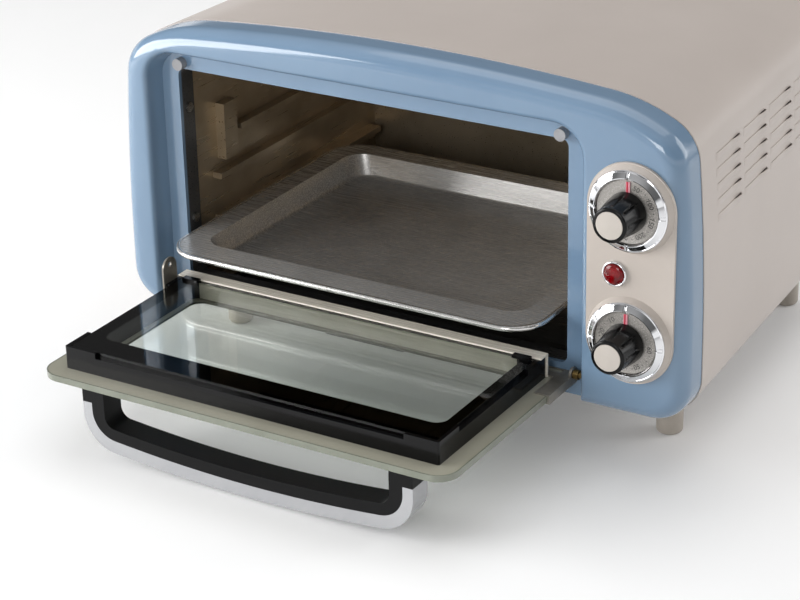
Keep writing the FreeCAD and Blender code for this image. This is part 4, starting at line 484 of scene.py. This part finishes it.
def make_knobs():
    """Tapered knobs: radius falls from base to face, less rounded notches
    D a(s) max(0, 1 - |w| / W)^1.2, where w runs from -1 to 1 across a notch and W is its share
    of that. The notches fade out at the base and before a smooth collar; the face has a seat
    for the cap."""
    for name, (low, high) in KNOBS.items():
        centre = middle(low, high)
        base, back, front = (high.x - low.x) / 2, high.y, low.y
        cap_low, cap_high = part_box(name + "_knob_cap")
        seat = (cap_high.x - cap_low.x) / 2 + CAP_PLAY
        share = np.concatenate([[0, 0.015, 0.04], np.linspace(0.08, 0.9, 28),
                                [0.93, 0.96, 0.98, 0.995]])
        radius = base + (KNOB_TIP - base) * smooth_step(share) ** 0.8
        radius[[0, -1]] -= KNOB_ROUND
        radius[-2] -= KNOB_ROUND / 3
        profile = [(KNOB_BORE, back)] + [(r, back + (front - back) * s)
                                         for r, s in zip(radius, share)]
        profile += [(seat, front), (seat, front + CAP_SEAT), (POLE, front + CAP_SEAT)]
        depth = np.zeros(len(profile))
        depth[1:len(share) + 1] = NOTCH_DEEP * smooth_step((share - 0.05) / 0.35) \
            * smooth_step((0.90 - share) / 0.14)

        def notch(s, t, depth=depth):
            """The fall of the radius: the row's depth times a peaked wave round the knob."""
            wave = np.abs(((t * NOTCHES / TURN) + 0.5) % 1 - 0.5) * 2
            return -depth[s] * np.clip(1 - wave / NOTCH_SHARE, 0, 1) ** 1.2

        points = lathe(profile, 192, centre, radial=notch)
        made = piece(name + "_knob_turned", [grid(points, round_v=True, caps=True)], KNOB,
                     BODIES[name], crease=50)
        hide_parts(name + "_knob")


def box_shape(low, high):
    """A box between two corners, as a closed tube of four edges with its two ends."""
    x, y, z = zip(low, high)
    ring = [(x[0], z[0]), (x[1], z[0]), (x[1], z[1]), (x[0], z[1])]
    points = np.array([[(a, level, b) for a, b in ring] for level in y])
    return grid(points, round_v=True, caps=True)


LENS_SEAT, LENS_SHANK, LENS_PLAY = 0.0067, 0.0058, 0.0001
LAMP_ROUND, DOME_SUNK, SHANK_SUNK, LENS_POLE = 0.0009, 0.0004, 0.0002, 0.0002


def make_lamp():
    """The pilot lamp: a thin ring with a rounded front, and a low red dome on its shank, whose
    radius is R sin t while it falls back by H (1 - cos t)."""
    low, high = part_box("lamp_ring")
    centre = middle(low, high)
    outside = (high.x - low.x) / 2
    tip, back = (corner.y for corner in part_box("lamp_lens"))
    half = (outside - LENS_SEAT) / 2
    rounded = [(LENS_SEAT + half + half * math.cos(t), low.y + LAMP_ROUND * (1 - math.sin(t)))
               for t in np.linspace(0, math.pi, 9)]
    ring = [(outside, high.y)] + rounded + [(LENS_SEAT, high.y)]
    made = piece("lamp_ring_turned",
                 [grid(lathe(ring, 96, centre), round_u=True, round_v=True)], CHROME, "oven")
    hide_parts("lamp_ring")
    edge, foot, seat = LENS_SEAT - LENS_PLAY, low.y + DOME_SUNK, high.y - SHANK_SUNK
    dome = [(edge * math.sin(t), foot - (foot - tip) * math.cos(t))
            for t in np.linspace(0.02, math.pi / 2, 14)]
    lens = dome + [(edge, seat), (LENS_SHANK, seat), (LENS_SHANK, back), (LENS_POLE, back)]
    made = piece("lamp_lens_dome", [grid(lathe(lens, 96, centre), round_v=True, caps=True)],
                 LENS, "oven", crease=50)
    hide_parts("lamp_lens")


# the red line's half width and the pink plate's reach to either side of it
LINE_HALF, PLATE_LEFT, PLATE_RIGHT = 0.00046, 0.0010, 0.0017
HUB_PLAY, LINE_TUCK = 0.0003, 0.001


def make_pointers():
    """A black hub disc behind each knob, and a red line on a pink plate that reaches from it
    to the ring."""
    for name in KNOBS:
        low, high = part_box(name + "_pointer")
        x = (low.x + high.x) / 2
        hub = (high.x - low.x) / 2
        level, foot = low.z + hub, low.z + 2 * hub - LINE_TUCK
        disc = [(KNOB_BORE, high.y), (hub - HUB_PLAY, high.y), (hub - HUB_PLAY, low.y),
                (KNOB_BORE, low.y)]
        made = piece(name + "_pointer_hub",
                     [grid(lathe(disc, 96, (x, level)), round_u=True, round_v=True)],
                     KNOB, BODIES[name])
        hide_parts(name + "_pointer")
        line = box_shape((x - LINE_HALF, low.y - 0.00005, foot),
                         (x + LINE_HALF, low.y + 0.0003, high.z))
        made = piece(name + "_pointer_line", [line], RED, BODIES[name])
        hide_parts(name + "_pointer")
        plate = box_shape((x - PLATE_LEFT, low.y + 0.0001, foot),
                          (x + PLATE_RIGHT, low.y + 0.0005, high.z))
        piece(name + "_pointer_plate", [plate], PINK, BODIES[name])


# how far the frame's wall stands in from its hinge side, and the trim's ends from the glass's
WALL_INSET, BAND_END, LINING_END = 0.0083, 0.004, 0.0085


def make_window_trim():
    """Beige trim along the window's hinge side: a band on the inner glass and a lining of
    the frame's wall below it."""
    low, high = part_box("inner_glass")
    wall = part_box("door_frame")[1].y - WALL_INSET
    band = box_shape((low.x + BAND_END, wall + 0.0002, high.z + 0.00002),
                     (high.x - BAND_END, high.y - 0.0012, high.z + 0.0001))
    lining = box_shape((low.x + LINING_END, wall - 0.0005, GLASS_HIGH.z + 0.0003),
                       (high.x - LINING_END, wall - 0.0001, low.z - 0.0002))
    piece("window_trim", [band, lining], TRIM, "door")


BEAD_INSET, BEAD_DROP, BEAD_RADIUS, TRAY_CORNER = 0.0013, 0.0017, 0.0019, 0.025


def make_tray_bead():
    """The tray's rolled rim: a circle carried round the tray's rounded outline. Its point at
    angle a is r cos a outwards and r sin a upwards from the line."""
    low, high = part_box("baking_tray")
    line = loop((low.x + BEAD_INSET, low.y + BEAD_INSET),
                (high.x - BEAD_INSET, high.y - BEAD_INSET), TRAY_CORNER - BEAD_INSET, steps=16)
    around = np.roll(line, -1, axis=0) - np.roll(line, 1, axis=0)
    around /= np.linalg.norm(around, axis=1, keepdims=True)
    outward = np.stack([around[:, 1], -around[:, 0]], -1)
    angle = np.linspace(0, TURN, 14, endpoint=False)
    across = line[:, None] + BEAD_RADIUS * np.cos(angle)[:, None] * outward[:, None]
    level = high.z - BEAD_DROP + BEAD_RADIUS * np.sin(angle) + np.zeros((len(line), 1))
    points = np.concatenate([across, level[..., None]], -1)
    piece("tray_rolled_rim", [grid(points, round_u=True, round_v=True)], BEAD, "tray",
          crease=60)


# the ring's section: (inwards from its outside, share of its depth from the back), then the
# same with the distance behind its front, and how far each point dips in the notches
RING_BACK = [(0, 0), (0, 0.30), (0.0003, 0.38), (0.0009, 0.44), (0.0011, 0.40)]
RING_FRONT = [(0.0036, 0.0005), (0.0043, 0), (0.0048, 0.0001), (0.0054, 0.0012)]
RING_INSIDE = 0.0055
RING_DIPS = np.array([0, 0, 0, 0, 0, 1, 1, 1, 0.6, 0])
DIP_DEEP, DIP_HALF, DIP_EASE = 0.0008, 2.6, 0.8


def make_rings():
    """Bright dial rings: a section with a step, a slope and a rounded lip, turned about Y. The
    front falls back by D e(s) within 2.6 degrees of each quarter turn."""
    for name, (low, high) in RINGS.items():
        centre = middle(low, high)
        outer = (high.x - low.x) / 2
        back, front = high.y, low.y
        section = [(outer - inwards, back - share * (back - front))
                   for inwards, share in RING_BACK]
        section += [(outer - inwards, front + behind) for inwards, behind in RING_FRONT]
        section += [(outer - RING_INSIDE, back)]

        def dip(s, t):
            """How far the front falls back: the point's share of the dip near a quarter turn."""
            away = np.abs((t / (TURN / 4) + 0.5) % 1 - 0.5) * 90
            return DIP_DEEP * RING_DIPS[s] * smooth_step((DIP_HALF - away) / DIP_EASE)

        points = lathe(section, 360, centre, height=dip)
        made = piece(name + "_ring_turned", [grid(points, round_u=True, round_v=True)], CHROME,
                     "oven", crease=20)
        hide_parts(name + "_dial_ring")


# each dial's numbers, with their angle in degrees clockwise from the top
MARKS = {
    "upper": [(20, "50"), (63, "100"), (105, "150"), (148, "200"), (190, "230")],
    "lower": [(95, "60"), (150, "50"), (200, "40"), (240, "30"), (285, "20"), (325, "10")],
}
MARK_HIGH, MARK_REACH, DOT_REACH, DOT_RADIUS = 0.0046, 0.0162, 0.0172, 0.00034
INK_HALF, DOT_SKIN, MARK_LIFT = 0.00003, 0.00005, 0.00002


def text_mesh(word, size):
    """A word as a flat mesh with a little thickness, centred on the origin in the XY plane."""
    curve = bpy.data.curves.new("mark", "FONT")
    curve.body, curve.size, curve.align_x, curve.align_y = word, size, "CENTER", "CENTER"
    curve.extrude, curve.resolution_u = INK_HALF, 3
    holder = bpy.data.objects.new("mark", curve)
    bpy.context.scene.collection.objects.link(holder)
    graph = bpy.context.evaluated_depsgraph_get()
    mesh = bpy.data.meshes.new_from_object(holder.evaluated_get(graph))
    points = np.empty(len(mesh.vertices) * 3)
    mesh.vertices.foreach_get("co", points)
    faces = [list(polygon.vertices) for polygon in mesh.polygons]
    bpy.data.objects.remove(holder)
    return points.reshape(-1, 3), faces


def make_marks():
    """Numbers round each dial, feet towards its centre, with three dots between neighbours."""
    for name, (low, high) in DIALS.items():
        centre = np.array([(low.x + high.x) / 2, low.y, (low.z + high.z) / 2])
        shapes, words = [], MARKS[name]
        for degrees, word in words:
            points, faces = text_mesh(word, MARK_HIGH)
            t = math.radians(degrees)
            across = np.array([math.cos(t), 0, -math.sin(t)])
            outward = np.array([math.sin(t), 0, math.cos(t)])
            forward = np.array([0, -1, 0])
            placed = centre + outward * MARK_REACH + points[:, :1] * across
            placed = placed + points[:, 1:2] * outward + (points[:, 2:] + MARK_LIFT) * forward
            shapes.append((placed, faces))
        for (first, _), (second, _) in zip(words, words[1:]):
            for step in (1, 2, 3):
                t = math.radians(first + (second - first) * step / 4)
                spot = (centre[0] + DOT_REACH * math.sin(t), centre[2] + DOT_REACH * math.cos(t))
                profile = [(DOT_RADIUS, centre[1]), (DOT_RADIUS, centre[1] - DOT_SKIN)]
                shapes.append(grid(lathe(profile, 10, spot), round_v=True, caps=True))
        piece(name + "_dial_marks", shapes, INK, "oven")


# Camera, lights and floor

# the focal length is in pixels of the photograph's width; the angles are in degrees
FOCAL = 2417.4
EYE = (0.74885, -1.28944, 0.72744)
AZIMUTH, ELEVATION, ROLL = 31.557, 24.373, -1.369
PHOTO_WIDTH, SENSOR = 800, 36.0


def make_camera():
    """The camera solved from the photograph's edges: its place, turn, tilt and roll."""
    a, e, r = (math.radians(angle) for angle in (AZIMUTH, ELEVATION, ROLL))
    back = Vector((math.sin(a) * math.cos(e), -math.cos(a) * math.cos(e), math.sin(e)))
    right = Vector((math.cos(a), math.sin(a), 0))
    up = back.cross(right)
    turned = right * math.cos(r) + up * math.sin(r)
    tilted = up * math.cos(r) - right * math.sin(r)
    data = bpy.data.cameras.new("camera")
    data.lens = FOCAL * SENSOR / PHOTO_WIDTH
    data.sensor_width = SENSOR
    data.clip_start, data.clip_end = 0.05, 20
    camera = bpy.data.objects.new("camera", data)
    rows = Matrix((turned, tilted, back)).transposed().to_4x4()
    camera.matrix_world = Matrix.Translation(EYE) @ rows
    bpy.context.scene.collection.objects.link(camera)
    bpy.context.scene.camera = camera


LIGHTS = [
    # name, place, aim, size, watts
    ("top_box", (0.0, 0.2, 1.7), (0.0, 0.0, 0.1), (1.8, 1.4), 9),
    ("left_box", (-1.6, -1.1, 0.6), (-0.2, 0.0, 0.12), (1.5, 1.0), 40),
    ("front_box", (-0.5, -2.2, 1.2), (0.0, 0.0, 0.12), (1.2, 0.8), 2),
    ("cavity_box", (0.35, -1.8, 0.7), (-0.1, 0.05, 0.14), (0.6, 0.5), 6),
    ("right_box", (1.5, 1.1, 0.9), (0.1, 0.1, 0.12), (1.0, 1.2), 11),
]


# the sky's brightness over the sine of its height: white at the horizon, dim above, pale on top
SKY = [(0.0, 1.0), (0.12, 1.0), (0.22, 0.12), (0.5, 0.16), (0.75, 0.56)]


def seen_rays(tree):
    """1 for rays that show the background: from the camera, off metal or through glass."""
    path = node(tree, "ShaderNodeLightPath").outputs
    shiny = node(tree, "ShaderNodeMath", {0: path["Is Glossy Ray"],
                                          1: path["Is Transmission Ray"]},
                 operation="MAXIMUM")
    return node(tree, "ShaderNodeMath", {0: path["Is Camera Ray"], 1: shiny.outputs[0]},
                operation="MAXIMUM").outputs[0]


def make_lights():
    """Soft boxes above, left, in front and right, and a sky in the levels of SKY."""
    for name, place, aim, size, watts in LIGHTS:
        data = bpy.data.lights.new(name, "AREA")
        data.shape, data.size, data.size_y, data.energy = "RECTANGLE", size[0], size[1], watts
        lamp = bpy.data.objects.new(name, data)
        lamp.location = place
        direction = Vector(aim) - Vector(place)
        lamp.rotation_euler = direction.to_track_quat("-Z", "Y").to_euler()
        bpy.context.scene.collection.objects.link(lamp)
    world = bpy.data.worlds.new("studio")
    bpy.context.scene.world = world
    world.use_nodes = True
    tree = world.node_tree
    sky = tree.nodes["Background"]
    direction = node(tree, "ShaderNodeTexCoord").outputs["Generated"]
    height = node(tree, "ShaderNodeSeparateXYZ", {"Vector": direction}).outputs["Z"]
    dome = node(tree, "ShaderNodeValToRGB", {"Fac": height})
    steps = dome.color_ramp.elements
    while len(steps) < len(SKY):
        steps.new(1.0)
    for step, (position, level) in zip(steps, SKY):
        step.position, step.color = position, (level, level, level, 1.0)
    tree.links.new(dome.outputs["Color"], sky.inputs["Strength"])
    sky.inputs["Color"].default_value = (1, 1, 1, 1)


FLOOR_REACH, FLOOR_LIFT = 6.0, 0.08


def make_floor():
    """A wide pale floor that keeps the soft shadow and shows white elsewhere."""
    mesh = bpy.data.meshes.new("floor")
    corners = [(-1, -1), (1, -1), (1, 1), (-1, 1)]
    mesh.from_pydata([(FLOOR_REACH * x, FLOOR_REACH * y, 0) for x, y in corners], [],
                     [(0, 1, 2, 3)])
    floor = bpy.data.objects.new("floor", mesh)
    bpy.context.scene.collection.objects.link(floor)
    material = finish("floor", (243, 243, 243), (240, 240, 240), 2, (0.6, 0.7), (EVEN, 40), 1e-6)
    tree = material.node_tree
    shader = tree.nodes["Principled BSDF"]
    lift = node(tree, "ShaderNodeMath", {0: seen_rays(tree), 1: FLOOR_LIFT},
                operation="MULTIPLY")
    tree.links.new(lift.outputs[0], shader.inputs["Emission Strength"])
    shader.inputs["Emission Color"].default_value = (1, 1, 1, 1)
    mesh.materials.append(material)


dress_nodes()
make_louvres()
make_print()
make_knobs()
make_rings()
make_lamp()
make_pointers()
make_marks()
make_tray_bead()
make_window_trim()
make_camera()
make_lights()
make_floor()
bpy.context.scene.view_settings.view_transform = "Standard"
